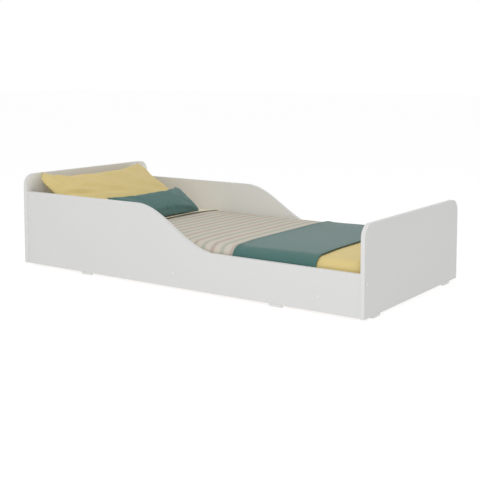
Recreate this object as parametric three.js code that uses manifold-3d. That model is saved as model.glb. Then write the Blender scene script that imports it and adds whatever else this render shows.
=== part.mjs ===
// A low toddler bed of flat-pack boards: a headboard, a footboard and two curved side rails around a
// slatted base, with its mattress, bedding, pillow and cushion.
// Millimetres. +X runs from head to foot, -Y is the front long side, +Z is up.
// The origin is on the floor under the middle of the bed.
import * as THREE from "three";
import { mergeVertices } from "three/addons/utils/BufferGeometryUtils.js";
import Module from "manifold-3d";

const wasm = await Module();
wasm.setup();

// Driving dimensions

const GAP = 0.3; // left between neighbouring pieces
const BED_LENGTH = 1560; // over the two end panels
const BED_WIDTH = 748; // over the end panels, the widest boards
const BOARD = 15; // thickness of panels and rails

const GLIDE = { length: 50, width: 13, height: 10, chamfer: 1 };
const HEADBOARD_HEIGHT = 364;
const FOOTBOARD_HEIGHT = 302;
const PANEL_CORNER = 45; // radius of the top corners of both end panels

const RAIL = {
  inset: 5.5, // from the side edge of an end panel to the rail's outer face
  guardHeight: 294, // beside the pillow
  entryHeight: 142, // where a child climbs in
  curveStart: 598, // from the outer face of the headboard
  curveEnd: 962,
  curveSteps: 26,
};

const BEAM = { width: 60, height: 22, centre: 51 }; // centre is above the boards' lower edges
const BEAM_SPACING = 609; // from the middle beam to each of the others
const SLAT = { count: 6, width: 96, thickness: 12, length: 1500, edge: 3 };

const SCREW = { head: 9.4, headHeight: 3.6, shank: 5, length: 48, sink: 4, socket: 4.2, socketDepth: 2.2 };
const CAP = { disc: 12, discHeight: 1.2, stem: 9, stemLength: 2.8 };
const DOWEL = { diameter: 8, length: 30, chamfer: 1, inPanel: 10 };
const HOLE_CLEARANCE = 0.4; // on the radius of each drilled hole
const ROUND_SIDES = 16; // of screws, dowels, caps and their holes

const CORNER_SCREWS = { head: [111, 250], foot: [111] }; // above the boards' lower edges
const CORNER_DOWELS = { head: [40, 180], foot: [40, 74] };

const MATTRESS = { length: 1500, width: 684, height: 100, edge: 36, corner: 45 };
const SHEET_THICKNESS = 1;
const QUILT = { thickness: 4, start: 160, end: 1352 }; // start and end are from the headboard's outer face
const THROW = { thickness: 2.5, start: 1032, end: 1368 };
const DRAPE_BOTTOM = 20; // the covers' lower hems are this far above the mattress's underside

// A stuffed piece leans on its neighbour: its long edges are at "top" and "bottom", from the headboard's
// outer face and above the boards' lower edges.
const PILLOW = {
  width: 612,
  shift: -4,
  top: [44, 350],
  bottom: [330, 194],
  thickness: 72,
  edge: 76,
  corner: 40,
};
const CUSHION = {
  width: 452,
  shift: -16,
  top: [326, 284],
  bottom: [476, 197],
  thickness: 54,
  edge: 50,
  corner: 30,
};

// Values that follow from them

const FLOOR_TO_BOARD = GLIDE.height;
const HEAD_FACE = -BED_LENGTH / 2; // outer face of the headboard
const FOOT_FACE = BED_LENGTH / 2;
const RAIL_OUTER = BED_WIDTH / 2 - RAIL.inset;
const RAIL_MIDDLE = RAIL_OUTER - BOARD / 2;
const RAIL_INNER = RAIL_OUTER - BOARD;
const RAIL_END = BED_LENGTH / 2 - BOARD - GAP;
const BEAM_Z = FLOOR_TO_BOARD + BEAM.centre;
const SLAT_BOTTOM = BEAM_Z + BEAM.height / 2 + GAP;
const MATTRESS_BOTTOM = SLAT_BOTTOM + SLAT.thickness + GAP;
const GLIDE_ALONG_RAIL = 440; // from the bed's middle
const GLIDE_ALONG_PANEL = 284;

// Materials

const finish = (color, roughness, metalness = 0) =>
  new THREE.MeshStandardMaterial({ color, roughness, metalness });

const WHITE_BOARD = finish(0xf2f2f0, 0.45);
const WHITE_PLASTIC = finish(0xededea, 0.4);
const PINE = finish(0xd8b88a, 0.7);
const BEECH = finish(0xcfa878, 0.75);
const ZINC = finish(0xb8bcc0, 0.35, 1);
const FOAM_COVER = finish(0xe9e6df, 0.95);
const YELLOW_COTTON = finish(0xe3cf86, 0.9);
const STRIPED_COTTON = finish(0xd9cdbd, 0.92);
const TEAL_COTTON = finish(0x5f908b, 0.9);

const X = new THREE.Vector3(1, 0, 0);
const Y = new THREE.Vector3(0, 1, 0);
const Z = new THREE.Vector3(0, 0, 1);

// Solids

/** A closed geometry as a solid that can be cut. */
function solid(geometry) {
  const bare = geometry.clone();
  bare.deleteAttribute("normal");
  bare.deleteAttribute("uv");
  const merged = mergeVertices(bare, 1e-4);
  return new wasm.Manifold(
    new wasm.Mesh({
      numProp: 3,
      vertProperties: merged.attributes.position.array,
      triVerts: new Uint32Array(merged.index.array),
    }),
  );
}

/** A cut solid as a geometry with flat-shaded normals. */
function geometryOf(cut) {
  const mesh = cut.getMesh();
  const geometry = new THREE.BufferGeometry();
  geometry.setAttribute("position", new THREE.BufferAttribute(mesh.vertProperties, 3));
  geometry.setIndex(new THREE.BufferAttribute(mesh.triVerts, 1));
  geometry.computeVertexNormals();
  return geometry;
}

/** The body without each of the tools. */
function cutAway(body, tools) {
  return geometryOf(tools.reduce((left, tool) => left.subtract(solid(tool)), solid(body)));
}

/** A cylinder along the given axis, centred at the given point. */
function rod(axis, [x, y, z], diameter, length) {
  const geometry = new THREE.CylinderGeometry(diameter / 2, diameter / 2, length, ROUND_SIDES);
  geometry.applyQuaternion(new THREE.Quaternion().setFromUnitVectors(Y, axis));
  return geometry.translate(x, y, z);
}

/** A flat outline with square corners at the bottom and round ones of the given radius at the top. */
function panelOutline(width, height, radius) {
  const half = width / 2;
  const shape = new THREE.Shape();
  shape.moveTo(-half, 0);
  shape.lineTo(half, 0);
  shape.lineTo(half, height - radius);
  shape.absarc(half - radius, height - radius, radius, 0, Math.PI / 2);
  shape.lineTo(-half + radius, height);
  shape.absarc(-half + radius, height - radius, radius, Math.PI / 2, Math.PI);
  shape.closePath();
  return shape;
}

/** A rectangle about the origin, with all four corners rounded. */
function roundedRectangle(width, height, radius) {
  const x = width / 2 - radius;
  const y = height / 2 - radius;
  const shape = new THREE.Shape();
  shape.absarc(x, y, radius, 0, Math.PI / 2);
  shape.absarc(-x, y, radius, Math.PI / 2, Math.PI);
  shape.absarc(-x, -y, radius, Math.PI, 1.5 * Math.PI);
  shape.absarc(x, -y, radius, 1.5 * Math.PI, 2 * Math.PI);
  shape.closePath();
  return shape;
}

/** A soft slab that lies flat about the origin, with its edges rounded over to the middle. */
function softSlab({ length, width, height, edge, corner, steps = 5 }) {
  const outline = roundedRectangle(length - 2 * edge, width - 2 * edge, Math.max(corner - edge, 4));
  const round = Math.min(edge, height / 2 - 1);
  const depth = height - 2 * round;
  const geometry = new THREE.ExtrudeGeometry(outline, {
    depth,
    bevelSize: edge,
    bevelThickness: round,
    bevelSegments: steps,
    curveSegments: 5,
  });
  return geometry.translate(0, 0, -depth / 2);
}

// Hardware

/** A connecting screw with a sunk flat head; its head's face is at the origin and it points to -Y. */
function screwGeometry() {
  const head = SCREW.head / 2;
  const shank = SCREW.shank / 2;
  const tip = 3;
  const profile = [
    [0, -SCREW.length],
    [shank * 0.4, -SCREW.length],
    [shank, -SCREW.length + tip],
    [shank, -SCREW.headHeight],
    [head, -SCREW.headHeight * 0.55],
    [head, 0],
    [0, 0],
  ];
  const turned = new THREE.LatheGeometry(profile.map(([r, y]) => new THREE.Vector2(r, y)), ROUND_SIDES);
  const radius = SCREW.socket / 2;
  const socket = new THREE.CylinderGeometry(radius, radius, SCREW.socketDepth * 2, 6);
  return cutAway(turned, [socket]);
}

/** A cover cap: a low disc on a stem; the disc's underside is at the origin and the stem points to -Y. */
function capGeometry() {
  const disc = CAP.disc / 2;
  const stem = CAP.stem / 2;
  const profile = [
    [0, -CAP.stemLength],
    [stem, -CAP.stemLength],
    [stem, 0],
    [disc, 0],
    [disc, CAP.discHeight * 0.4],
    [disc * 0.86, CAP.discHeight],
    [0, CAP.discHeight],
  ];
  return new THREE.LatheGeometry(profile.map(([r, y]) => new THREE.Vector2(r, y)), ROUND_SIDES);
}

/** A wooden dowel with chamfered ends, about the origin along Y. */
function dowelGeometry() {
  const r = DOWEL.diameter / 2;
  const half = DOWEL.length / 2;
  const profile = [
    [0, -half],
    [r - DOWEL.chamfer, -half],
    [r, -half + DOWEL.chamfer],
    [r, half - DOWEL.chamfer],
    [r - DOWEL.chamfer, half],
    [0, half],
  ];
  return new THREE.LatheGeometry(profile.map(([x, y]) => new THREE.Vector2(x, y)), ROUND_SIDES);
}

/** The hole for a screw driven inwards along the axis from a board's face, with its sunk head and cap. */
function screwHole(inward, [x, y, z]) {
  const face = new THREE.Vector3(x, y, z);
  const clearance = 2 * HOLE_CLEARANCE;
  const sink = SCREW.sink + SCREW.headHeight + GAP;
  const at = (depth) => face.clone().addScaledVector(inward, depth).toArray();
  const shankLength = SCREW.length + SCREW.sink + 2;
  return [
    rod(inward, at(sink / 2 - 1), SCREW.head + clearance, sink + 2),
    rod(inward, at(shankLength / 2), SCREW.shank + clearance, shankLength),
  ];
}

// Assembly helpers

const bed = new THREE.Group();

/** Adds one named piece to a group, with its local Y turned to the given direction. */
function place(group, name, geometry, material, [x, y, z] = [0, 0, 0], direction = Y) {
  const mesh = new THREE.Mesh(geometry, material);
  mesh.name = name;
  mesh.position.set(x, y, z);
  mesh.quaternion.setFromUnitVectors(Y, direction);
  group.add(mesh);
  return mesh;
}

const SIDES = [
  { name: "front", sign: -1 },
  { name: "back", sign: 1 },
];
const ENDS = [
  { name: "head", sign: -1 },
  { name: "foot", sign: 1 },
];
const BEAMS = [
  { name: "head", x: -BEAM_SPACING },
  { name: "middle", x: 0 },
  { name: "foot", x: BEAM_SPACING },
];

/** Where each corner screw enters an end panel's outer face. */
const cornerScrewPoints = (end, side) =>
  CORNER_SCREWS[end.name].map((height) => [
    (end.sign * BED_LENGTH) / 2,
    side.sign * RAIL_MIDDLE,
    FLOOR_TO_BOARD + height,
  ]);

/** The middle of each dowel that joins an end panel to a rail. */
const cornerDowelPoints = (end, side) =>
  CORNER_DOWELS[end.name].map((height) => [
    end.sign * (BED_LENGTH / 2 - BOARD + DOWEL.inPanel - DOWEL.length / 2 - 2 * GAP),
    side.sign * RAIL_MIDDLE,
    FLOOR_TO_BOARD + height,
  ]);

/** Where each beam screw enters a rail's outer face. */
const beamScrewPoint = (beam, side) => [beam.x, side.sign * RAIL_OUTER, BEAM_Z];

const dowelHole = (point) =>
  rod(X, point, DOWEL.diameter + 2 * HOLE_CLEARANCE, DOWEL.length + 2 * GAP);

// Boards

/** The headboard or footboard, drilled for the rails' screws and dowels. */
function endPanel(end, height) {
  const blank = new THREE.ExtrudeGeometry(panelOutline(BED_WIDTH, height, PANEL_CORNER), {
    depth: BOARD,
    bevelEnabled: false,
    curveSegments: 10,
  });
  blank.applyMatrix4(new THREE.Matrix4().makeBasis(Y, Z, X));
  blank.translate(end.sign > 0 ? FOOT_FACE - BOARD : HEAD_FACE, 0, FLOOR_TO_BOARD);
  const inward = X.clone().multiplyScalar(-end.sign);
  const holes = SIDES.flatMap((side) => [
    ...cornerScrewPoints(end, side).flatMap((point) => screwHole(inward, point)),
    ...cornerDowelPoints(end, side).map(dowelHole),
  ]);
  return cutAway(blank, holes);
}

/** A side rail's outline: a high guard at the head that eases down to a low entry at the foot. */
function railOutline() {
  const shape = new THREE.Shape();
  const { guardHeight, entryHeight, curveSteps } = RAIL;
  const from = HEAD_FACE + RAIL.curveStart;
  const to = HEAD_FACE + RAIL.curveEnd;
  shape.moveTo(-RAIL_END, 0);
  shape.lineTo(RAIL_END, 0);
  shape.lineTo(RAIL_END, entryHeight);
  for (let step = curveSteps; step >= 0; step -= 1) {
    const t = step / curveSteps;
    const drop = ((guardHeight - entryHeight) * (1 - Math.cos(Math.PI * t))) / 2;
    shape.lineTo(from + (to - from) * t, guardHeight - drop);
  }
  shape.lineTo(-RAIL_END, guardHeight);
  shape.closePath();
  return shape;
}

/** A side rail, drilled at its ends for the panels and along its foot for the cross beams. */
function sideRail(side) {
  const blank = new THREE.ExtrudeGeometry(railOutline(), { depth: BOARD, bevelEnabled: false });
  blank.applyMatrix4(new THREE.Matrix4().makeBasis(X, Z, Y.clone().negate()));
  blank.translate(0, side.sign * RAIL_MIDDLE + BOARD / 2, FLOOR_TO_BOARD);
  const holes = ENDS.flatMap((end) => {
    const inward = X.clone().multiplyScalar(-end.sign);
    return [
      ...cornerScrewPoints(end, side).flatMap((point) => screwHole(inward, point)),
      ...cornerDowelPoints(end, side).map(dowelHole),
    ];
  });
  const across = Y.clone().multiplyScalar(-side.sign);
  const beamHoles = BEAMS.flatMap((beam) => screwHole(across, beamScrewPoint(beam, side)));
  return cutAway(blank, [...holes, ...beamHoles]);
}

/** A cross beam between the rails, drilled in its end grain. */
function crossBeam(beam) {
  const length = 2 * (RAIL_INNER - GAP);
  const blank = new THREE.BoxGeometry(BEAM.width, length, BEAM.height).translate(beam.x, 0, BEAM_Z);
  const holes = SIDES.flatMap((side) =>
    screwHole(Y.clone().multiplyScalar(-side.sign), beamScrewPoint(beam, side)),
  );
  return cutAway(blank, holes);
}

/** A long base slat with eased edges, about the origin along X. */
function slatGeometry() {
  const section = roundedRectangle(SLAT.width, SLAT.thickness, SLAT.edge);
  const geometry = new THREE.ExtrudeGeometry(section, {
    depth: SLAT.length,
    bevelEnabled: false,
    curveSegments: 2,
  });
  geometry.translate(0, 0, -SLAT.length / 2);
  return geometry.applyMatrix4(new THREE.Matrix4().makeBasis(Y, Z, X));
}

/** A plastic glide that keeps a board's lower edge off the floor; it is long along X. */
function glideGeometry() {
  const { length, width, height, chamfer } = GLIDE;
  const outline = roundedRectangle(length - 2 * chamfer, width - 2 * chamfer, 1);
  const straight = height - GAP - 2 * chamfer;
  const foot = new THREE.ExtrudeGeometry(outline, {
    depth: straight,
    bevelSize: chamfer,
    bevelThickness: chamfer,
    bevelSegments: 1,
    curveSegments: 2,
  });
  return foot.translate(0, 0, chamfer);
}

for (const end of ENDS) {
  const height = end.name === "head" ? HEADBOARD_HEIGHT : FOOTBOARD_HEIGHT;
  place(bed, `${end.name}board`, endPanel(end, height), WHITE_BOARD);
}
for (const side of SIDES) place(bed, `side_rail_${side.name}`, sideRail(side), WHITE_BOARD);
for (const beam of BEAMS) place(bed, `cross_beam_${beam.name}`, crossBeam(beam), PINE);

const slatPitch = (2 * RAIL_INNER - 10 - SLAT.width) / (SLAT.count - 1);
for (let i = 0; i < SLAT.count; i += 1) {
  const y = (i - (SLAT.count - 1) / 2) * slatPitch;
  place(bed, `base_slat_${i + 1}`, slatGeometry(), PINE, [0, y, SLAT_BOTTOM + SLAT.thickness / 2]);
}

// Glides under the boards

for (const end of ENDS) {
  for (const side of SIDES) {
    const alongRail = [end.sign * GLIDE_ALONG_RAIL, side.sign * RAIL_MIDDLE, 0];
    place(bed, `glide_rail_${side.name}_${end.name}`, glideGeometry(), WHITE_PLASTIC, alongRail);
    const x = (end.sign * (BED_LENGTH - BOARD)) / 2;
    const turned = glideGeometry().rotateZ(Math.PI / 2);
    const underPanel = [x, side.sign * GLIDE_ALONG_PANEL, 0];
    place(bed, `glide_${end.name}board_${side.name}`, turned, WHITE_PLASTIC, underPanel);
  }
}

// Fasteners

/** Moves a point from a board's face along the outward direction. */
const offFace = (point, outward, distance) =>
  new THREE.Vector3(...point).addScaledVector(outward, distance).toArray();

/** Adds a sunk screw and its cover cap at a point on a board's face. */
function placeScrewAndCap(name, point, outward) {
  place(bed, `${name}_screw`, screwGeometry(), ZINC, offFace(point, outward, -SCREW.sink), outward);
  place(bed, `${name}_cap`, capGeometry(), WHITE_PLASTIC, offFace(point, outward, GAP), outward);
}

for (const end of ENDS) {
  const outward = X.clone().multiplyScalar(end.sign);
  for (const side of SIDES) {
    cornerScrewPoints(end, side).forEach((point, i) => {
      const level = i === 0 ? "low" : "high";
      placeScrewAndCap(`corner_${end.name}_${side.name}_${level}`, point, outward);
    });
    cornerDowelPoints(end, side).forEach((point, i) => {
      const level = i === 0 ? "low" : "high";
      place(bed, `dowel_${end.name}_${side.name}_${level}`, dowelGeometry(), BEECH, point, X);
    });
  }
}
for (const beam of BEAMS) {
  for (const side of SIDES) {
    const outward = Y.clone().multiplyScalar(side.sign);
    placeScrewAndCap(`beam_${beam.name}_${side.name}`, beamScrewPoint(beam, side), outward);
  }
}

// Mattress and bedding

/** The mattress grown on every side by the given amount, in its place. */
function mattressGrown(by) {
  const { length, width, height, edge, corner } = MATTRESS;
  const geometry = softSlab({
    length: length + 2 * by,
    width: width + 2 * by,
    height: height + 2 * by,
    edge: edge + by,
    corner: corner + by,
  });
  return geometry.translate(0, 0, MATTRESS_BOTTOM + height / 2);
}

/** The mattress's cross-section grown by the given amount: its half width, its top and its edges' radius. */
function coverOutline(grow) {
  const half = MATTRESS.width / 2 + grow;
  const top = MATTRESS_BOTTOM + MATTRESS.height + grow;
  return { half, top, radius: MATTRESS.edge + grow };
}

/** A sheet of cloth draped across the mattress as an upside-down U, from one place to another along X. */
function drapedCover(inside, thickness, start, end) {
  const bottom = MATTRESS_BOTTOM + DRAPE_BOTTOM;
  const outer = coverOutline(inside + thickness);
  const inner = coverOutline(inside);
  const section = new THREE.Shape();
  section.moveTo(outer.half, bottom);
  section.absarc(outer.half - outer.radius, outer.top - outer.radius, outer.radius, 0, Math.PI / 2);
  section.absarc(outer.radius - outer.half, outer.top - outer.radius, outer.radius, Math.PI / 2, Math.PI);
  section.lineTo(-outer.half, bottom);
  section.lineTo(-inner.half, bottom);
  section.absarc(inner.radius - inner.half, inner.top - inner.radius, inner.radius, Math.PI, Math.PI / 2, true);
  section.absarc(inner.half - inner.radius, inner.top - inner.radius, inner.radius, Math.PI / 2, 0, true);
  section.lineTo(inner.half, bottom);
  section.closePath();
  const geometry = new THREE.ExtrudeGeometry(section, {
    depth: end - start,
    bevelEnabled: false,
    curveSegments: 6,
  });
  geometry.applyMatrix4(new THREE.Matrix4().makeBasis(Y, Z, X));
  return geometry.translate(HEAD_FACE + start, 0, 0);
}

/** A stuffed piece that leans between its two long edges. */
function placeStuffed(name, { width, shift, top, bottom, thickness, edge, corner }, material) {
  const [topX, topZ] = top;
  const [bottomX, bottomZ] = bottom;
  const length = Math.hypot(bottomX - topX, bottomZ - topZ);
  const lean = new THREE.Group();
  lean.position.set(
    HEAD_FACE + (topX + bottomX) / 2,
    shift,
    FLOOR_TO_BOARD + (topZ + bottomZ) / 2,
  );
  lean.rotation.y = Math.atan2(topZ - bottomZ, bottomX - topX);
  const geometry = softSlab({ length, width, height: thickness, edge, corner: edge + corner, steps: 4 });
  place(lean, name, geometry, material);
  bed.add(lean);
}

place(bed, "mattress", mattressGrown(0), FOAM_COVER);

const sheetSkirtCut = new THREE.BoxGeometry(2 * MATTRESS.length, 2 * MATTRESS.width, 2 * DRAPE_BOTTOM);
sheetSkirtCut.translate(0, 0, MATTRESS_BOTTOM);
place(
  bed,
  "fitted_sheet",
  cutAway(mattressGrown(GAP + SHEET_THICKNESS), [mattressGrown(GAP), sheetSkirtCut]),
  YELLOW_COTTON,
);

const quiltInside = 2 * GAP + SHEET_THICKNESS;
const throwInside = quiltInside + QUILT.thickness + GAP;
place(
  bed,
  "striped_quilt",
  drapedCover(quiltInside, QUILT.thickness, QUILT.start, QUILT.end),
  STRIPED_COTTON,
);
place(
  bed,
  "throw_blanket",
  drapedCover(throwInside, THROW.thickness, THROW.start, THROW.end),
  TEAL_COTTON,
);
placeStuffed("pillow", PILLOW, YELLOW_COTTON);
placeStuffed("cushion", CUSHION, TEAL_COTTON);

export default bed;
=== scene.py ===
"""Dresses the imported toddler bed: boards, slatted base, fasteners, mattress, bedding, pillow and cushion.

Metres, in the part's own frame: +X runs from head to foot, -Y is the front long side, +Z is up, and the
origin is on the floor under the middle of the bed.
"""

import logging
import math
from dataclasses import dataclass, field
from enum import Enum
from typing import Sequence

import bmesh
import bpy
import numpy as np
from mathutils import Matrix, Vector, noise
from mathutils.bvhtree import BVHTree
from mathutils.kdtree import KDTree


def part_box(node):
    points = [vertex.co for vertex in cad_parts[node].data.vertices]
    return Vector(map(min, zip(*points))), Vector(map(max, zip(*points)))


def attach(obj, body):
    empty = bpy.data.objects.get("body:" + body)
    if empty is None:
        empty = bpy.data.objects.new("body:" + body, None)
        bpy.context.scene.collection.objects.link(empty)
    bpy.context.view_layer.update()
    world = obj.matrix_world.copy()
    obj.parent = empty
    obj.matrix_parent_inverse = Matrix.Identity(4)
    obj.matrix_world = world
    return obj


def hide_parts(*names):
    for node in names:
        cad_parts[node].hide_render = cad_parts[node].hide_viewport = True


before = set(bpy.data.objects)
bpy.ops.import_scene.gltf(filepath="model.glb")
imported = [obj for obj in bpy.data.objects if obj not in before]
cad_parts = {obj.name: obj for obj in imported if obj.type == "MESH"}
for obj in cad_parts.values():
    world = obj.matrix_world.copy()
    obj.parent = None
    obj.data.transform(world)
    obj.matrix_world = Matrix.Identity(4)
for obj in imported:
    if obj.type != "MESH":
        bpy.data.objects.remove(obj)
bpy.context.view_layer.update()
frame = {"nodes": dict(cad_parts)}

LOG = logging.getLogger("toddler_bed")
MM = 0.001
CLEARANCE = 0.3 * MM  # between a layer of bedding and the one below

Colour = tuple[float, float, float, float]
Socket = bpy.types.NodeSocket


def srgb(red: float, green: float, blue: float) -> Colour:
    """Turns a display colour of 0 to 255 a channel into a linear colour.

    Args:
        red: The red channel.
        green: The green channel.
        blue: The blue channel.

    Returns:
        The linear colour, opaque.
    """
    channels = [c / 255 for c in (red, green, blue)]
    linear = [c / 12.92 if c <= 0.04045 else ((c + 0.055) / 1.055) ** 2.4 for c in channels]
    return (linear[0], linear[1], linear[2], 1.0)


class Body(Enum):
    """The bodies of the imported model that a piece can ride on."""

    FRAME = "frame"
    MATTRESS = "mattress"
    PILLOW = "pillow"
    CUSHION = "cushion"


class Slot(Enum):
    """The record's material slots named for the added pieces."""

    ZINC = "zinc_screw"
    MATTRESS = "mattress_cover"
    YELLOW = "yellow_cotton"
    STRIPED = "striped_cotton"
    TEAL = "teal_cotton"


class Axis(Enum):
    """An axis of the part's frame, as the name of a separated channel."""

    X = "X"
    Y = "Y"
    Z = "Z"


# Node trees


class NodeTree:
    """A node tree that takes its nodes and their links in one call."""

    def __init__(self, tree: bpy.types.NodeTree) -> None:
        """Starts from an empty tree.

        Args:
            tree: The tree, whose nodes are cleared.
        """
        self.tree = tree
        self.tree.nodes.clear()

    def node(self, kind: str, values: dict | None = None, **settings: object) -> bpy.types.Node:
        """Adds a node.

        Args:
            kind: The node's type name.
            values: What goes into its inputs, by name or place; a socket is linked.
            **settings: The node's own properties.

        Returns:
            The node.
        """
        made = self.tree.nodes.new(kind)
        for key, value in settings.items():
            setattr(made, key, value)
        for key, value in (values or {}).items():
            self.feed(made.inputs[key], value)
        return made

    def feed(self, socket: Socket, value: object) -> None:
        """Sets an input's value, or links it where the value is a socket.

        Args:
            socket: The input.
            value: Its value, or the socket that gives it.
        """
        if isinstance(value, Socket):
            self.tree.links.new(value, socket)
        else:
            socket.default_value = value


class Graph(NodeTree):
    """A material's node tree, with short calls for the nodes that the finishes share."""

    def __init__(self, name: str) -> None:
        """Makes an empty material with a Principled shader on its output.

        Args:
            name: The material's name.
        """
        self.material = bpy.data.materials.new(name)
        self.material.use_nodes = True
        super().__init__(self.material.node_tree)
        self.shader = self.node("ShaderNodeBsdfPrincipled")
        self.node("ShaderNodeOutputMaterial", {"Surface": self.shader.outputs["BSDF"]})

    def set(self, **values: object) -> None:
        """Sets or links the shader's own inputs, named with underscores for spaces."""
        for key, value in values.items():
            self.feed(self.shader.inputs[key.replace("_", " ")], value)

    def coordinates(self, space: str = "Object") -> Socket:
        """Gives the piece's own coordinates, "Object" or "UV"."""
        return self.node("ShaderNodeTexCoord").outputs[space]

    def mapped(self, vector: Socket, scale: Sequence[float]) -> Socket:
        """Stretches a pattern.

        Args:
            vector: The coordinates.
            scale: The factor along each axis.

        Returns:
            The stretched coordinates.
        """
        return self.node("ShaderNodeMapping", {"Vector": vector, "Scale": scale}).outputs[0]

    def channel(self, vector: Socket, axis: Axis) -> Socket:
        """Gives one channel of a vector."""
        return self.node("ShaderNodeSeparateXYZ", {0: vector}).outputs[axis.value]

    def noise(self, vector: Socket, scale: float, detail: float = 2.0, rough: float = 0.5) -> Socket:
        """Adds a noise pattern.

        Args:
            vector: The coordinates.
            scale: Cells to the metre.
            detail: Octaves.
            rough: Weight of the finer octaves.

        Returns:
            The pattern's value.
        """
        values = {"Vector": vector, "Scale": scale, "Detail": detail, "Roughness": rough}
        return self.node("ShaderNodeTexNoise", values).outputs[0]

    def math(self, operation: str, first: object, second: object = 0.0, third: object = 0.0) -> Socket:
        """Adds a Math node.

        Args:
            operation: The operation's name.
            first: The first value or socket.
            second: The second value or socket.
            third: The third value or socket.

        Returns:
            The result.
        """
        values = {0: first, 1: second, 2: third}
        return self.node("ShaderNodeMath", values, operation=operation).outputs[0]

    def tinted(self, colour: object, shade: Socket) -> Socket:
        """Darkens a colour by a shade of 0 to 1."""
        return self.blend(1.0, colour, shade, "MULTIPLY")

    def ramp(self, value: Socket, low: float, high: float, start: float = 0.0, end: float = 1.0) -> Socket:
        """Maps a range of values smoothly to another.

        Args:
            value: The value.
            low: Where the input range starts.
            high: Where it ends.
            start: The result at low.
            end: The result at high.

        Returns:
            The mapped value.
        """
        values = {"Value": value, 1: low, 2: high, 3: start, 4: end}
        return self.node("ShaderNodeMapRange", values, interpolation_type="SMOOTHSTEP").outputs[0]

    def blend(self, fraction: object, first: object, second: object, how: str = "MIX") -> Socket:
        """Mixes two colours.

        Args:
            fraction: How much of the second.
            first: The first colour or socket.
            second: The second colour or socket.
            how: The blend type.

        Returns:
            The mixed colour.
        """
        values = {0: fraction, 6: first, 7: second}
        return self.node("ShaderNodeMix", values, data_type="RGBA", blend_type=how).outputs[2]

    def wave(self, vector: Socket, axis: Axis, scale: float, distortion: float = 0.0) -> Socket:
        """Adds parallel bands.

        Args:
            vector: The coordinates.
            axis: The axis that the bands follow one another along.
            scale: The pattern's scale.
            distortion: How far noise bends the bands.

        Returns:
            The pattern's value.
        """
        values = {"Vector": vector, "Scale": scale, "Distortion": distortion, "Detail": 2.0}
        settings = {"wave_type": "BANDS", "bands_direction": axis.value}
        return self.node("ShaderNodeTexWave", values, **settings).outputs["Fac"]

    def bump(self, height: Socket, distance: float, strength: float = 1.0) -> None:
        """Turns a height pattern into relief on the surface.

        Args:
            height: The pattern, about 0 to 1.
            distance: The relief's height in metres.
            strength: How much of it shows.
        """
        values = {"Height": height, "Distance": distance, "Strength": strength}
        self.set(Normal=self.node("ShaderNodeBump", values).outputs[0])


# Finishes


@dataclass(frozen=True)
class LaminateBoard:
    """White laminated board with a fine printed grain and a plain band glued on its edges."""

    name: str
    through: Axis  # the axis through the board's thickness
    middle: float  # where the middle of that thickness is
    half_thickness: float
    # the board's white, set per board lighter or darker to stand in for the light it gets: painted light and
    # shade
    colour: Colour
    band: Colour = srgb(220, 220, 219)
    glue: Colour = srgb(176, 172, 164)
    glue_shows: float = 0.22

    def material(self) -> bpy.types.Material:
        """Makes the material.

        Returns:
            The material.
        """
        graph = Graph(self.name)
        place = graph.coordinates()
        normal = graph.node("ShaderNodeNewGeometry").outputs["Normal"]
        facing = graph.math("ABSOLUTE", graph.channel(normal, self.through))
        on_edge = graph.ramp(facing, 0.4, 0.6, 1.0, 0.0)
        depth = graph.math("SUBTRACT", graph.channel(place, self.through), self.middle)
        off_middle = graph.math("ABSOLUTE", depth)
        glue_line = graph.ramp(off_middle, self.half_thickness - 0.7 * MM, self.half_thickness - 0.2 * MM)
        glue_line = graph.math("MULTIPLY", glue_line, graph.math("MULTIPLY", on_edge, self.glue_shows))
        grain = graph.noise(graph.mapped(place, (6, 60, 60)), 6.0, 6.0, 0.62)
        cloud = graph.noise(place, 3.0, 2.0)
        shade = graph.math("MULTIPLY_ADD", grain, 0.035, graph.math("MULTIPLY_ADD", cloud, 0.03, 0.967))
        face = graph.tinted(self.colour, shade)
        colour = graph.blend(on_edge, face, self.band)
        graph.set(Base_Color=graph.blend(glue_line, colour, self.glue))
        pores = graph.noise(graph.mapped(place, (90, 900, 900)), 2.0, 3.0, 0.6)
        pebble = graph.noise(place, 900.0, 2.0)
        relief = graph.math("MULTIPLY_ADD", pores, 0.7, graph.math("MULTIPLY", pebble, 0.5))
        graph.bump(relief, 0.06 * MM, 0.6)
        graph.set(Roughness=graph.math("MULTIPLY_ADD", grain, 0.16, 0.36), Specular_IOR_Level=0.4)
        return graph.material


@dataclass(frozen=True)
class MouldedPlastic:
    """White moulded plastic with a spark-eroded matt texture."""

    name: str = "moulded_plastic"
    colour: Colour = srgb(228, 228, 226)

    def material(self) -> bpy.types.Material:
        """Makes the material.

        Returns:
            The material.
        """
        graph = Graph(self.name)
        place = graph.coordinates()
        cloud = graph.noise(place, 60.0, 3.0)
        stipple = graph.noise(place, 2200.0, 2.0, 0.7)
        shade = graph.math("MULTIPLY_ADD", cloud, 0.06, 0.95)
        graph.set(Base_Color=graph.tinted(self.colour, shade))
        graph.set(Roughness=graph.math("MULTIPLY_ADD", stipple, 0.2, 0.34), Specular_IOR_Level=0.5)
        graph.bump(stipple, 0.05 * MM, 0.5)
        return graph.material


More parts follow.
